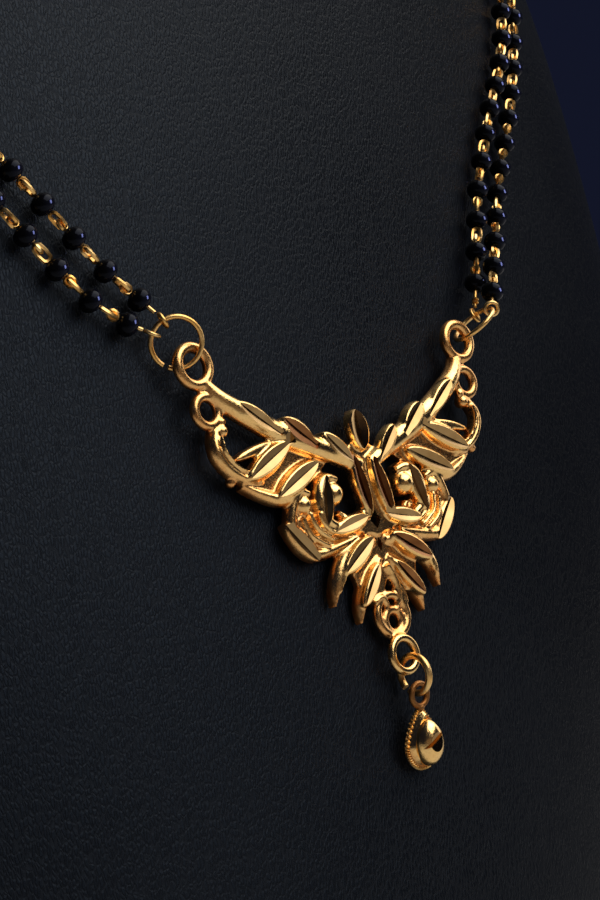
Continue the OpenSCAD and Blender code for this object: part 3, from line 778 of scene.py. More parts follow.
# %% Leaves
# x, y, length, width, turn, height, roll on the right, roll on the left
SIDE_LEAVES = {
    "stem_outer": (0.694, 0.156, 0.27, 0.090, 38, 0.93, -6, -12),
    "stem_middle": (0.435, 0.059, 0.22, 0.104, 41, 0.96, -8, -14),
    "stem_inner": (0.188, -0.050, 0.22, 0.085, 46, 0.99, -12, -8),
    "wing_upper": (0.672, -0.068, 0.33, 0.105, -26, 0.89, 4, 8),
    "wing_lower": (0.505, -0.185, 0.33, 0.105, -25, 0.91, 4, 8),
    "scroll_leaf": (0.350, -0.325, 0.24, 0.090, -76, 0.90, 4, 8),
    "bar_leaf": (0.199, -0.457, 0.25, 0.085, -12, 0.87, 4, 6),
    "shell_leaf": (0.548, -0.508, 0.25, 0.100, 50, 0.63, 0, -4),
    "tail_upper": (0.205, -0.624, 0.28, 0.100, -32, 0.94, 6, 12),
    "tail_lower": (0.148, -0.788, 0.25, 0.080, -50, 0.81, 6, 6),
}
# x, y, length, width, turn, height, roll
CENTRE_LEAVES = {
    "top_leaf": (0.000, 0.030, 0.20, 0.130, 90, 1.00, -14),
    "middle_left": (-0.072, -0.270, 0.31, 0.084, -83, 0.95, 12),
    "middle_right": (0.076, -0.290, 0.33, 0.090, -81, 0.97, 12),
}
RIM_LEAF = (0.740, -0.005, 0.27, 0.045, -14, 0.67, 0, 0)
# how much longer and wider the leaf is than its cut
LEAF_LONG, LEAF_WIDE = 1.12, 1.14
LEAF_STATIONS = (-1, -0.92, -0.78, -0.55, -0.28, 0, 0.28, 0.55, 0.78, 0.92, 1)
LEAF_SHOULDER = [
    (-0.53, 0.55), (-0.50, 0.30), (-0.43, 0.12), (-0.25, 0.02), (0.0, 0.0),
    (0.25, 0.02), (0.43, 0.12), (0.50, 0.30), (0.53, 0.55),
]


def leaf_section(width, top):
    """A flat-topped body with round shoulders, whose roundness follows its width."""
    foot = foot_under(top)
    upper = [(across * width, max(foot + 0.05, top - drop * width)) for across, drop in LEAF_SHOULDER]
    return [(-0.50 * width, foot)] + upper + [(0.50 * width, foot)]


def leaf_run(row):
    """The leaf's rows for a sweep: thin and low at its two tips."""
    x, y, length, width, turn, height = row[:6]
    along = Vector((math.cos(math.radians(turn)), math.sin(math.radians(turn))))
    line = []
    for t in LEAF_STATIONS:
        middle = Vector((x, y)) * HALF + along * t * length * HALF * LEAF_LONG / 2
        fat = max(0.10, (1 - t * t) ** 0.62)
        crown = 0.72 + 0.28 * (1 - t * t) ** 0.5
        line.append((*middle, width * HALF * LEAF_WIDE * fat, height * RELIEF * crown))
    return line


def leaf_pair(row):
    x, y, length, width, turn, height, right_roll, left_roll = row
    return [
        (x, y, length, width, turn, height, right_roll),
        (-x, y, length, width, 180 - turn, height, left_roll),
    ]


cut_leaves = [leaf for row in SIDE_LEAVES.values() for leaf in leaf_pair(row)]
cut_leaves += CENTRE_LEAVES.values()
for leaf in cut_leaves + leaf_pair(RIM_LEAF):
    sweep(wax, leaf_run(leaf), leaf_section)
print("with", len(cut_leaves) + 2, "leaves:", len(wax.faces), "faces")

# %% [markdown]
# Wax wire bent into rings makes the small eyes: the end loops that the jump
# rings pass through, the open scroll rings under them, the foot's ring and the
# fixed loop below it. Little balls of wax close the ends of the scrolls.

# %% Rings and balls
LOOP_X, LOOP_Y, LOOP_UP = 1.000, 0.462, 0.85
# x, y, outer diameter, wire, middle height, all but the first two in mm
WAX_RINGS = [
    (LOOP_X, LOOP_Y, 4.8, 1.1, LOOP_UP), (-LOOP_X, LOOP_Y, 4.8, 1.1, LOOP_UP),
    (0.978, 0.226, 3.8, 1.0, 0.80), (-0.978, 0.226, 3.8, 1.0, 0.80), (-0.020, -0.965, 5.0, 0.95, 0.95),
    (-0.018, -0.998, 3.3, 1.0, 0.80), (-0.032, -1.180, 4.2, 0.9, 1.55),
]
# x, y, diameter, height of the top, in shares
WAX_BALLS = [
    (0.270, -0.285, 0.142, 0.84), (0.490, -0.318, 0.108, 0.73), (0.915, 0.115, 0.072, 0.58),
    (0.905, 0.162, 0.048, 0.54), (0.955, -0.075, 0.050, 0.46), (0.918, -0.148, 0.054, 0.42),
]


def torus(middle, mean_radius, wire_radius, around, sides, turn=(0, 0, 0)):
    return add_shape(
        bpy.ops.mesh.primitive_torus_add, location=middle, rotation=turn, major_radius=mean_radius,
        minor_radius=wire_radius, major_segments=around, minor_segments=sides,
    )


def ball(middle, radius, scale, around, levels):
    return add_shape(
        bpy.ops.mesh.primitive_uv_sphere_add, location=middle, radius=radius, scale=scale,
        segments=around, ring_count=levels,
    )


parts = []
for x, y, outer, wire, level in WAX_RINGS:
    parts.append(torus((x * HALF, y * HALF, level), (outer - wire) / 2, wire / 2, 40, 14))
for x, y, across, top in WAX_BALLS:
    r = across * HALF / 2
    for side in (-1, 1):
        parts.append(ball((side * x * HALF, y * HALF, top * RELIEF - r), r, (1, 1, 1.15), 20, 12))
print(len(parts), "rings and balls")

# %% [markdown]
# Joined, the wax pieces still pass through one another. A voxel remesh melts
# them into one skin, as the casting does, and a short smoothing leaves the soft
# fillets of real metal where they meet.

# %% One casting


def piece_from(mesh_in_work, name):
    bmesh.ops.recalc_face_normals(mesh_in_work, faces=mesh_in_work.faces)
    mesh = bpy.data.meshes.new(name)
    mesh_in_work.to_mesh(mesh)
    mesh_in_work.free()
    piece = bpy.data.objects.new(name, mesh)
    bpy.context.scene.collection.objects.link(piece)
    return piece


def join(pieces, name):
    only(pieces[0])
    for piece in pieces:
        piece.select_set(True)
    bpy.ops.object.join()
    pieces[0].name = pieces[0].data.name = name
    return pieces[0]


casting = join([piece_from(wax, "wax")] + parts, "pendant_casting")
apply_modifier(casting, "REMESH", mode="VOXEL", voxel_size=0.138)
apply_modifier(casting, "SMOOTH", factor=0.5, iterations=3)
casting.data.materials.append(pendant_gold)
print("casting:", len(casting.data.polygons), "faces after the remesh")

# %% [markdown]
# The bright cuts come last, as they do at the bench. A spinning V-shaped tool
# dips into a leaf along its length and leaves two facets that meet in a valley.
# The cutter here is a thin wedge on a gentle arc, so that the cut is deepest in
# the middle, and a Boolean keeps the wedge's material on the new faces. The
# cutters are joined first, because one big cut is surer than many small ones.
# Five of the cuts get a darker, browner finish as painted shade.

# %% Bright cuts
FLANK, CUT_ARC = math.radians(30), 0.08
CUT_REACH, CLEAR_OF_LEAF, CUT_STEPS = 0.62, 1.1, 10


def wedge_piece(rows, name, finish):
    """A closed wedge over rows of three points, with the finish that its cut leaves."""
    wedge = bmesh.new()
    rings = [[wedge.verts.new(point) for point in row] for row in rows]
    for first, second in zip(rings, rings[1:]):
        for j in range(3):
            k = (j + 1) % 3
            wedge.faces.new((first[j], second[j], second[k], first[k]))
    wedge.faces.new(rings[0])
    wedge.faces.new(rings[-1][::-1])
    piece = piece_from(wedge, name)
    piece.data.materials.append(finish)
    return piece


def cutter(row, finish):
    x, y, length, width, turn, height, roll = row
    length, width, slope = length * HALF, width * HALF, math.tan(FLANK)
    deep = slope * width / 2
    sections = []
    for n in range(CUT_STEPS + 1):
        t = 2 * n / CUT_STEPS - 1
        reach = t * (length * CUT_REACH)
        low = -deep + CUT_ARC * length / 4 * t * t
        side = (CLEAR_OF_LEAF - low) / slope
        sections.append([(reach, -side, CLEAR_OF_LEAF), (reach, 0, low), (reach, side, CLEAR_OF_LEAF)])
    piece = wedge_piece(sections, "cutter", finish)
    piece.data.transform(
        Matrix.Translation((x * HALF, y * HALF, height * RELIEF))
        @ Matrix.Rotation(math.radians(turn), 4, "Z")
        @ Matrix.Rotation(math.radians(roll), 4, "X")
    )
    return piece


def combine(piece, tool, operation="DIFFERENCE"):
    """Cuts the tool away, or adds it. The faces that it makes keep its material."""
    settings = {"solver": "MANIFOLD", "material_mode": "TRANSFER", "operation": operation}
    apply_modifier(piece, "BOOLEAN", object=tool, **settings)
    bpy.data.objects.remove(tool)


# painted shade: these five cuts get the darker, browner cut gold
painted_shade_cuts = [CENTRE_LEAVES["middle_left"], CENTRE_LEAVES["middle_right"]]
painted_shade_cuts.append(leaf_pair(SIDE_LEAVES["stem_middle"])[1])
painted_shade_cuts += [leaf_pair(SIDE_LEAVES[name])[0] for name in ("tail_upper", "tail_lower")]
cutters = cutter(cut_leaves[0], facet_gold)
for row in cut_leaves[1:]:
    finish = painted_shade_cut_gold if row in painted_shade_cuts else facet_gold
    combine(cutters, cutter(row, finish), "UNION")
combine(casting, cutters)
print("after", len(cut_leaves), "cuts:", len(casting.data.polygons), "faces in",
      [material.name for material in casting.data.materials])

# %% [markdown]
# The tail has two pierced diamonds, sawn through after casting. Then the back
# is lapped flat, the edges of the cuts are kept crisp, and the pendant is set on
# the chest.

# %% Piercing and setting
# x, y, width and height of the hole, the last two in mm
PIERCED = [(-0.005, -0.452, 1.5, 2.0), (0.000, -0.586, 0.8, 1.4)]
CRISP_ANGLE = 0.6
cut_away = [
    add_shape(bpy.ops.mesh.primitive_cylinder_add, vertices=4, radius=0.5, depth=8,
              location=(x * HALF, y * HALF, 1), scale=(wide, tall, 1))
    for x, y, wide, tall in PIERCED
]
cut_away.append(add_shape(bpy.ops.mesh.primitive_cube_add, size=1, location=(0, -6, -2), scale=(60, 60, 4)))
for tool in cut_away:
    tool.data.materials.append(pendant_gold)
    combine(casting, tool)


def keep_cuts_crisp(piece):
    """Smooth faces, with sharp edges round each cut and along each steep fold."""
    mesh = bmesh.new()
    mesh.from_mesh(piece.data)
    for edge in mesh.edges:
        finishes = {face.material_index for face in edge.link_faces}
        edge.smooth = len(finishes) < 2 and edge.calc_face_angle(0) <= CRISP_ANGLE
    for face in mesh.faces:
        face.smooth = True
    mesh.to_mesh(piece.data)
    mesh.free()


keep_cuts_crisp(casting)
casting.data.transform(ON_CHEST)
finish_piece(casting, "pendant_casting", "pendant", relief_pieces)

# %% [markdown]
# A strand is a row of beads, and each bead sits on its own short wire. The
# wire's two ends are bent into loops that hook into the next bead's loops. So
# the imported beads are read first: the middle of each is where its bead goes,
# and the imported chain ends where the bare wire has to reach.

# %% Reading the strands
STRANDS = ["left_inner", "left_outer", "right_inner", "right_outer"]


def solid_middles(node):
    """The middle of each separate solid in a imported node."""
    mesh = bmesh.new()
    mesh.from_mesh(node.data)
    bmesh.ops.remove_doubles(mesh, verts=mesh.verts, dist=1e-6)
    left, middles = set(mesh.verts), []
    while left:
        group, reached = set(), [left.pop()]
        while reached:
            vert = reached.pop()
            group.add(vert)
            near = {edge.other_vert(vert) for edge in vert.link_edges} & left
            left -= near
            reached.extend(near)
        low = Vector([min(v.co[i] for v in group) for i in range(3)])
        high = Vector([max(v.co[i] for v in group) for i in range(3)])
        middles.append((low + high) / 2)
    mesh.free()
    return middles


def in_order(points, here):
    """The points as a line, each the nearest that is left to the one before."""
    line, left = [], list(points)
    while left:
        here = min(left, key=lambda p: (p - here).length)
        left.remove(here)
        line.append(here)
    return line


def chain_ends(node, beads):
    """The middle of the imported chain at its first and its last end."""
    points = [vert.co for vert in node.data.vertices]
    ends = []
    for bead, neighbour in ((beads[0], beads[1]), (beads[-1], beads[-2])):
        away = (bead - neighbour).normalized()
        near = [p for p in points if (p - bead).length < 12 * MM]
        tip = max(near, key=lambda p: (p - bead).dot(away))
        ring = [p for p in points if (p - tip).length < 1.3 * MM and (p - bead).length > 1.0 * MM]
        ends.append(sum(ring, Vector()) / len(ring))
    return ends


strand_beads, strand_ends = {}, {}
for strand in STRANDS:
    beads = in_order(solid_middles(nodes["beads_" + strand]), chest(0, 0, 0))
    ends = chain_ends(nodes["chain_" + strand], beads)
    strand_beads[strand], strand_ends[strand] = beads, ends
    steps = [(a - b).length / MM for a, b in zip(beads, beads[1:])]
    reaches = [round((ends[i] - beads[i]).length / MM, 2) for i in (0, -1)]
    print(strand, len(beads), "beads", round(min(steps), 2), "to", round(max(steps), 2), "mm apart,",
          "chain ends", reaches, "mm past the last beads")

# %% [markdown]
# One bead is modelled and copied. A moulded glass bead is a short barrel, a
# little flat at its two holes, so the sphere's poles are pushed down into the
# hole and the rings next to them are drawn in.

# %% The bead
BEAD_D, BEAD_L = 2.45, 2.1
# a band of heights as shares of the half length, and what its width and height are multiplied by
BEAD_BANDS = [(0.95, 1.10, 1.0, 0.74), (0.80, 0.95, 0.92, 1.0)]


def select_where(piece, kind, wanted):
    """Selects the vertices or faces that pass the test, and stays in edit mode."""
    bpy.ops.object.mode_set(mode="EDIT")
    bpy.ops.mesh.select_mode(type=kind)
    bpy.ops.mesh.select_all(action="DESELECT")
    bpy.ops.object.mode_set(mode="OBJECT")
    for element in piece.data.vertices if kind == "VERT" else piece.data.polygons:
        element.select = wanted(element)
    bpy.ops.object.mode_set(mode="EDIT")


bead = ball((0, 0, 0), BEAD_D / 2, (1, 1, BEAD_L / BEAD_D), 14, 7)
for low, high, wider, higher in BEAD_BANDS:
    select_where(bead, "VERT", lambda vert: low < abs(vert.co.z) / (BEAD_L / 2) < high)
    bpy.ops.transform.resize(value=(wider, wider, higher))
bpy.ops.object.mode_set(mode="OBJECT")
bead_mesh = bead.data
bpy.data.objects.remove(bead)
print("a bead has", len(bead_mesh.polygons), "faces")

# %% [markdown]
# The long loop of one wire and the short loop of the next are the same torus
# with its two halves pulled apart, which keeps the wire round.

# %% The wire loops
WIRE_D = 0.42
LONG_L, LONG_W, SHORT_L, SHORT_W = 2.22, 1.35, 1.42, 1.22


def wire_loop(name, length, width, around):
    loop = torus((0, 0, 0), (width - WIRE_D) / 2, WIRE_D / 2, around, 5)
    for sign in (-1, 1):
        select_where(loop, "VERT", lambda vert: vert.co.x * sign > 0.01)
        bpy.ops.transform.translate(value=(sign * (length - width) / 2, 0, 0))
    bpy.ops.object.mode_set(mode="OBJECT")
    mesh = loop.data
    mesh.name = name
    bpy.data.objects.remove(loop)
    print(name, len(mesh.polygons), "faces")
    return mesh


long_loop = wire_loop("long_loop", LONG_L, LONG_W, 12)
short_loop = wire_loop("short_loop", SHORT_L, SHORT_W, 10)

# %% [markdown]
# Each copy goes in with a matrix, which says where it is and how its axes lie:
# X runs along the strand, and the roll turns it about the strand. The copies are
# merged into one mesh for each strand, because 178 separate beads would be slow.

# %% Axes along a strand


def frame_along(along, roll):
    """Axes with X along the strand, rolled about it."""
    side = along.cross(Vector((0, 0, 1))).normalized()
    up = side.cross(along)
    y = side * math.cos(roll) + up * math.sin(roll)
    return Matrix((along, y, along.cross(y))).transposed().to_4x4()


def at(place, along, roll):
    """The same axes with their middle at a place."""
    return Matrix.Translation(place) @ frame_along(along, roll)


def place_copy(target, mesh, matrix):
    before = len(target.verts)
    target.from_mesh(mesh)
    target.verts.ensure_lookup_table()
    bmesh.ops.transform(target, matrix=matrix @ BENCH, verts=target.verts[before:])


left_beads = strand_beads["left_inner"]
start_along = (left_beads[1] - left_beads[0]).normalized()
print("the left inner strand starts along", [round(v, 2) for v in start_along])

# %% [markdown]
# Beads sit a little askew on their wires, and bent wire never turns the same way
# twice. So both get small random turns, from a fixed seed so that the result is
# the same each time. Either bead of two can carry the long loop between them.

# %% Beads and loops
QUARTER = math.radians(90)
TURN_TO_AXIS = Matrix.Rotation(QUARTER, 4, "Y")
# in mm: how far a loop reaches into its bead, and the gap between beads that leaves it no slack
INTO_BEAD, TIGHT_GAP = 0.12, 2.3
bench_random = random.Random(7)


def string_beads(target, beads):
    """A copy of the bead at each place, a little askew on the wire."""
    padded = [beads[0], *beads, beads[-1]]
    for behind, spot, ahead in zip(padded, beads, padded[2:]):
        tilt = Matrix.Rotation(bench_random.uniform(-0.05, 0.05), 4, "Y")
        on_strand = at(spot, (ahead - behind).normalized(), bench_random.uniform(0, 6.28))
        place_copy(target, bead_mesh, on_strand @ tilt @ TURN_TO_AXIS)


def hook_loops(target, beads):
    """A long and a short loop between each two beads, hooked through each other."""
    for here, there in zip(beads, beads[1:]):
        along, free = (there - here).normalized(), (there - here).length / MM - BEAD_L
        roll = bench_random.uniform(0, math.pi)
        if bench_random.random() < 0.5:
            here, along = there, -along
        start = BEAD_L / 2 - INTO_BEAD
        long_at = start + LONG_L / 2 + (free - TIGHT_GAP) / 4
        short_at = start + free + 2 * INTO_BEAD - SHORT_L / 2
        across = Matrix.Rotation(QUARTER + bench_random.uniform(-0.2, 0.2), 4, "X")
        place_copy(target, long_loop, at(here + along * MM * long_at, along, roll))
        place_copy(target, short_loop, at(here + along * MM * short_at, along, roll) @ across)


pitch = (left_beads[1] - left_beads[0]).length / MM
print("a gap of", round(pitch - BEAD_L, 2), "mm takes loops of", LONG_L, "and", SHORT_L, "mm")

# %% [markdown]
# The last wire of a strand is bare up to the eye that hooks it to its ring. Where
# there is room, its end is wound twice round itself, as a maker does to close the
# eye.

# %% Strand ends
# in mm: the bare wire that is long enough to be wound, and where the winding is from its end
WOUND_FROM, WINDING_BACK = 2.6, 0.55
WINDING_SIZE, WINDING_ROLL = 0.62, 0.3


def rod(target, start, end, sides=8):
    """A round wire from one point to another, in metres, with closed ends."""
    axes = frame_along((end - start).normalized(), 0.0).to_3x3()
    turns = [2 * math.pi * n / sides for n in range(sides)]
    round_wire = [axes @ Vector((0, math.cos(a), math.sin(a))) * (WIRE_D / 2 * MM) for a in turns]
    skin(target, [[target.verts.new(point + side) for side in round_wire] for point in (start, end)])


def wind_end(target, bead, end):
    """Bare wire from the last bead to the strand's end, wound twice where it is long enough."""
    rod(target, bead, end)
    if (end - bead).length > WOUND_FROM * MM:
        away = (end - bead).normalized()
        winding = TURN_TO_AXIS @ Matrix.Scale(WINDING_SIZE, 4)
        for back in (WINDING_BACK, WINDING_BACK + WIRE_D):
            place_copy(target, short_loop, at(end - away * back * MM, away, WINDING_ROLL) @ winding)


print("the winding's coils are", round(SHORT_W * WINDING_SIZE, 2), "mm wide")

# %% [markdown]
# Now the strands are made one after another, the beads in glass and the loops
# in wire gold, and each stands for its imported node.

# %% Stringing
for strand in STRANDS:
    beads, ends = strand_beads[strand], strand_ends[strand]
    black, wire = bmesh.new(), bmesh.new()
    string_beads(black, beads)
    hook_loops(wire, beads)
    wind_end(wire, beads[0], ends[0])
    wind_end(wire, beads[-1], ends[1])
    black_beads = piece_from(black, "black_beads")
    dress(black_beads, bead_glass, 60)
    finish_piece(black_beads, "black_beads_" + strand, "beads_" + strand, bead_pieces)
    wire_links = piece_from(wire, "wire_links")
    dress(wire_links, wire_gold, 60)
    finish_piece(wire_links, "wire_links_" + strand, "chain_" + strand)

# %% [markdown]
# The jump rings are round wire wound on a rod, sawn off and closed with pliers.
# The saw leaves a gap with two flat ends that never quite meet in line. A torus
# is opened by deleting faces, its ends are filled, and a small twist along the
# ring sets one end proud of the other.

# %% Open jump rings
# how far the two ends of a ring stand off its plane, in mm, to opposite sides
SPRUNG = 0.05


def outward(piece):
    only(piece)
    bpy.ops.object.mode_set(mode="EDIT")
    bpy.ops.mesh.select_all(action="SELECT")
    bpy.ops.mesh.normals_make_consistent(inside=False)
    bpy.ops.object.mode_set(mode="OBJECT")


def open_ring(mean_radius, wire, gap_degrees, around):
    """A ring in the XY plane whose gap is on the side of minus X."""

    def in_gap(face):
        from_gap = 180 - abs(math.degrees(math.atan2(face.center.y, face.center.x)))
        return from_gap < gap_degrees / 2

    ring = torus((0, 0, 0), mean_radius, wire / 2, around, 12)
    select_where(ring, "FACE", in_gap)
    bpy.ops.mesh.delete(type="FACE")
    bpy.ops.mesh.select_all(action="SELECT")
    bpy.ops.mesh.fill_holes(sides=0)
    bpy.ops.object.mode_set(mode="OBJECT")
    for vert in ring.data.vertices:
        vert.co.z += SPRUNG * math.atan2(vert.co.y, vert.co.x) / math.pi
    outward(ring)
    dress(ring, wire_gold, 45)
    return ring


def ring_axes(centre, right, up):
    right, up = Vector(right).normalized(), Vector(up).normalized()
    turned = Matrix((right, up, right.cross(up))).transposed().to_4x4()
    return ON_CHEST @ Matrix.Translation(centre) @ turned


# the rings' mean radius and wire, and how far their middles lie from the end loops' middles
JUMP_R, JUMP_WIRE, RING_REACH = 2.45, 0.5, 2.75
# name, side, pull round the chest, lift off it, lean and place of the gap, all in degrees but the side
JUMP_RINGS = [("ring_left", -1, 60, 0, 34, 120), ("ring_right", 1, 36, 24, 86, 250)]
for name, side, *angles in JUMP_RINGS:
    pull, lift, lean, gap_at = [math.radians(angle) for angle in angles]
    line = Vector((side * math.cos(pull) * math.cos(lift), math.sin(pull) * math.cos(lift), math.sin(lift)))
    level = Vector((-line.y, line.x, 0)).normalized()
    cross = level * math.cos(lean) + line.cross(level) * side * math.sin(lean)
    centre = Vector((side * LOOP_X * HALF, LOOP_Y * HALF, LOOP_UP)) + line * RING_REACH
    gap = gap_at + math.pi
    right = line * math.cos(gap) + cross * math.sin(gap)
    up = cross * math.cos(gap) - line * math.sin(gap)
    jump = open_ring(JUMP_R, JUMP_WIRE, gap_degrees=13, around=56)
    jump.data.transform(ring_axes(centre, right, up))
    finish_piece(jump, "open_" + name, name, relief_pieces)

# %% [markdown]
# The drop hangs from the same kind of ring in thicker wire, turned edge-on, so
# that its sawn end catches the light at the lower left.

# %% Drop ring
DROP_X, RING_Y, RING_Z = -0.595, -24.04, 2.35
RING_R, RING_WIRE = 1.85, 0.7
gap = math.radians(228)
down_in = Vector((0, math.cos(gap), math.sin(gap)))
drop_jump = open_ring(RING_R, RING_WIRE, gap_degrees=16, around=44)
drop_jump.data.transform(ring_axes((DROP_X, RING_Y, RING_Z), -down_in, (0, -down_in.z, down_in.y)))
finish_piece(drop_jump, "open_drop_ring", "drop_ring", relief_pieces)

# %% [markdown]
# The drop is a pear-shaped plate. Its sloping wall ends in a thin raised lip,
# made by extruding the outline up and in, and then down again inside the lip.

# %% Pear plate
PEAR_W, PEAR_H, PEAR_EDGE = 4.3, 5.85, 72
# how far each extrusion goes up, and what the outline is multiplied by
PEAR_STEPS = [(0.62, 1.0), (0.10, 0.965), (0.42, 0.90), (0.06, 0.975), (0.0, 0.955), (-0.12, 0.98)]


def pear_edge(angle):
    """The middle line of the rope edge; 0 is the bottom of the pear."""
    pull = max(0.0, -math.cos(angle)) ** 1.6
    radius = PEAR_W / 2
    return Vector((
        math.sin(angle) * radius * (1 - 0.72 * pull),
        (radius - PEAR_H - math.cos(angle) * radius) * (1 - pull) - PEAR_W * 0.05 * pull,
        0,
    ))


def flat_face(corners, radius):
    circle_add = bpy.ops.mesh.primitive_circle_add
    return add_shape(circle_add, vertices=corners, radius=radius, fill_type="NGON", location=(0, 0, 0))


def stack_up(piece, steps, middle):
    """Extrudes a flat face upwards in steps, and resizes it about the middle after each."""
    bpy.ops.object.mode_set(mode="EDIT")
    bpy.ops.mesh.select_mode(type="FACE")
    bpy.ops.mesh.select_all(action="SELECT")
    for up, size in steps:
        bpy.ops.mesh.extrude_region_move(TRANSFORM_OT_translate={"value": (0, 0, up)})
        bpy.ops.transform.resize(value=(size, size, 1), center_override=middle)
    bpy.ops.object.mode_set(mode="OBJECT")
    outward(piece)


plate = flat_face(PEAR_EDGE, 1)
for n, vert in enumerate(plate.data.vertices):
    vert.co = pear_edge(2 * math.pi * n / PEAR_EDGE) * 0.985 + Vector((0, -0.02, 0.02))
stack_up(plate, PEAR_STEPS, (0, -3.25, 0))
print("pear plate", [round(v, 2) for v in plate.dimensions])

# %% [markdown]
# The rope edge is two thin wires twisted together and soldered round the plate.
# Each ply is a tube whose middle winds round the edge line twenty-six times.

# %% Rope edge
ROPE_TURNS, ROPE_STEPS, PLY_SIDES = 26, 364, 6
PLY_R, PLY_WIND, ROPE_UP = 0.175, 0.15, 0.40


def round_edge(out, angle, radius):
    """A step of that radius from the edge line, outwards at 0 and up at a quarter turn."""
    return (out * math.cos(angle) + Vector((0, 0, 1)) * math.sin(angle)) * radius


rope = bmesh.new()
for ply in range(2):
    rings = []
    for n in range(ROPE_STEPS):
        angle = 2 * math.pi * n / ROPE_STEPS
        here = pear_edge(angle)
        along = (pear_edge(angle + 0.01) - here).normalized()
        out = Vector((along.y, -along.x, 0))
        wind = ROPE_TURNS * angle + math.pi * ply
        centre = here + Vector((0, 0, ROPE_UP)) + round_edge(out, wind, PLY_WIND)
        turns = [2 * math.pi * k / PLY_SIDES for k in range(PLY_SIDES)]
        rings.append([rope.verts.new(centre + round_edge(out, turn, PLY_R)) for turn in turns])
    skin(rope, rings, endless=True)
rope_edge = piece_from(rope, "rope_edge")
print("rope edge has", len(rope_edge.data.polygons), "faces")

# %% [markdown]
# The dome is a half coffee bean: an oval boss, cut by the bright-cutting wheel
# into two facets that slope to a slit. A wide wedge and then a narrow one make
# the same two cuts.

# %% Dome and its cuts
DOME_Y, DOME_MIDDLE, DOME_TOP, DOME_FLOOR, DOME_TAPER = -3.45, 1.15, 2.66, 0.7, 0.10
SLIT_UP, SLIT_TURN = 0.45, math.radians(28)
# how wide the wedge spreads to each side at half its height, and how deep it goes
BEAN_CUTS = [(1.60, 0.26), (0.26, 0.80)]
dome = ball((0, DOME_Y - 0.05, DOME_MIDDLE), 1.0, (1.68, 2.22, DOME_TOP - DOME_MIDDLE), 36, 18)
for vert in dome.data.vertices:
    rise = max(0.0, vert.co.y - DOME_Y)
    vert.co.x *= 1 - DOME_TAPER * rise * rise / 2
    vert.co.y += DOME_TAPER * rise
    vert.co.z = max(vert.co.z, DOME_FLOOR)
dome.data.materials.append(pendant_gold)
for spread, deep in BEAN_CUTS:
    corners = [(-2 * spread, deep), (0, -deep), (2 * spread, deep)]
    tool = wedge_piece([[(x, y, z) for y, z in corners] for x in (-3, 3)], "bean_cutter", facet_gold)
    slit = Matrix.Translation((0, DOME_Y + SLIT_UP, DOME_TOP)) @ Matrix.Rotation(SLIT_TURN, 4, "Z")
    tool.data.transform(slit)
    combine(dome, tool)
keep_cuts_crisp(dome)
print("dome", len(dome.data.polygons), "faces in", [material.name for material in dome.data.materials])

# %% [markdown]
# The bail is a ring of thick wire at the pear's top, joined to it by a lump of solder. Both lie in the shade
# of the ring above, so their cast gold is painted darker, as painted shade, and is also duller. Then the
# parts become one piece, which leans back a little to lie on the chest.

# %% The whole drop
BAIL_AT, BAIL_R, BAIL_WIRE_R = (0, 1.22, 0.6), 1.1, 0.3
DROP_LEAN, HANG_POINT = math.radians(11), Vector((0, 1.385, 0.6))
PAINTED_SHADE_HOLLOW, PAINTED_SHADE_TOP = (0.22, 0.08, 0.02, 1), (0.42, 0.22, 0.08, 1)
bail = torus(BAIL_AT, BAIL_R, BAIL_WIRE_R, 32, 10)
solder = ball((0, -0.02, 0.6), 0.42, (1.1, 0.8, 0.9), 16, 10)
# painted shade: the bail and solder get a darker copy of the cast gold
painted_shade_gold = cast_gold("painted_shade_gold", 1.0, 6.0, 0.5, 0.34, 0.50, PAINTED_SHADE_HOLLOW, PAINTED_SHADE_TOP, PAINTED_SHADE_TOP)
finishes = {plate: pendant_gold, rope_edge: wire_gold, bail: painted_shade_gold, solder: painted_shade_gold}
for part, finish in finishes.items():
    dress(part, finish, 40)
pear_drop = join([dome, plate, rope_edge, bail, solder], "pear_drop")
pear_drop.data.transform(
    ON_CHEST
    @ Matrix.Translation((DROP_X, RING_Y - RING_R, RING_Z))
    @ Matrix.Rotation(DROP_LEAN, 4, "X")
    @ Matrix.Translation(-HANG_POINT)
)
finish_piece(pear_drop, "pear_drop", "drop", relief_pieces)

# %% [markdown]
# Behind the neck the four strand ends meet in a barrel clasp: two turned halves
# that screw together, with a ring soldered to each end. It is turned as on a
# lathe, by extruding a circle along the axis and changing its size at each step.
# Every second corner is then pushed in over two bands, which knurls the grips.

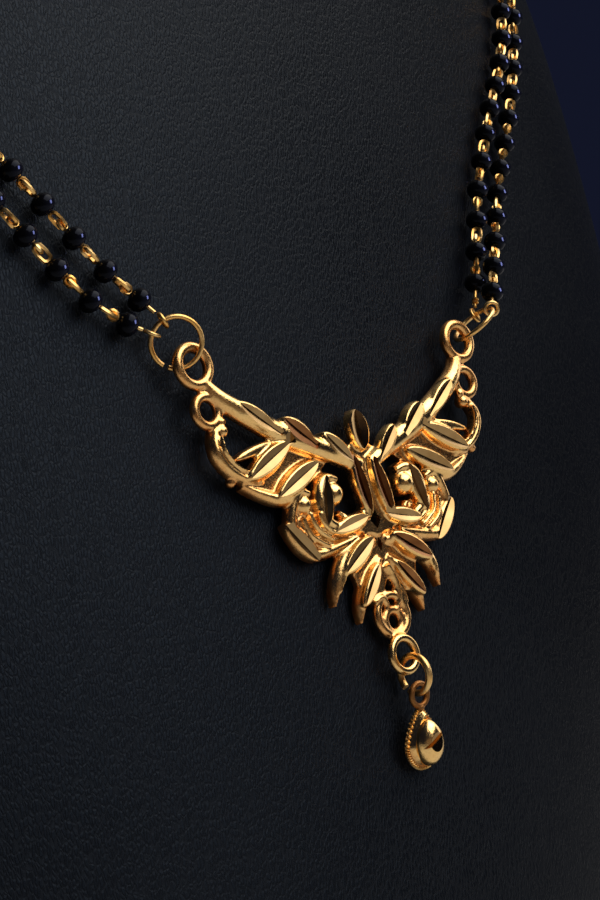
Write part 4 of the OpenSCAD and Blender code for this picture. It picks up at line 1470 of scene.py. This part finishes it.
# %% Barrel clasp
CLASP_L, CLASP_SIDES, CLASP_RING_R = 9.0, 48, 2.0
GRIP_FROM, GRIP_TO, GRIP_IN = 2.2, 4.1, 0.95
# place along the axis and radius, from one end to the middle
HALF_BARREL = [
    (0.0, 0.90), (0.15, 1.20), (0.9, 1.80), (1.6, 1.80), (1.7, 1.64), (1.85, 1.64), (1.95, 1.80),
    (2.3, 1.80), (4.0, 1.80), (4.38, 1.80), (4.5, 1.66),
]
profile = HALF_BARREL + [(CLASP_L - x, r) for x, r in reversed(HALF_BARREL[:-1])]
steps = [(x1 - x0, r1 / r0) for (x0, r0), (x1, r1) in zip(profile, profile[1:])]
barrel = flat_face(CLASP_SIDES, profile[0][1])
stack_up(barrel, steps, (0, 0, 0))
for vert in barrel.data.vertices:
    corner = round(math.atan2(vert.co.y, vert.co.x) / (2 * math.pi) * CLASP_SIDES)
    gripped = GRIP_FROM < vert.co.z < GRIP_TO or CLASP_L - GRIP_TO < vert.co.z < CLASP_L - GRIP_FROM
    if gripped and corner % 2:
        vert.co.x *= GRIP_IN
        vert.co.y *= GRIP_IN
barrel.data.transform(TURN_TO_AXIS @ Matrix.Translation((0, 0, -CLASP_L / 2)))
ring_x = CLASP_L / 2 + CLASP_RING_R
clasp_rings = [
    torus((side * ring_x, 0, 0), CLASP_RING_R, 0.3, 40, 10, (QUARTER, 0, 0)) for side in (-1, 1)
]
barrel_clasp = join([barrel] + clasp_rings, "barrel_clasp")
low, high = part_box("clasp")
barrel_clasp.data.transform(Matrix.Translation((Vector(low) + Vector(high)) / 2) @ BENCH)
dress(barrel_clasp, wire_gold, 30)
finish_piece(barrel_clasp, "barrel_clasp", "clasp")

# %% [markdown]
# The eyes at the strands' ends are plain wire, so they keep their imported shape.
# Only the finish is put on.

# %% End eyes
cover_with(nodes["end_eyes"], wire_gold)
print("end eyes keep their packed shape, in", wire_gold.name)

# %% Finish
low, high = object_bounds()
print("scene box in mm", [round((h - l) * 1000, 1) for l, h in zip(low, high)])
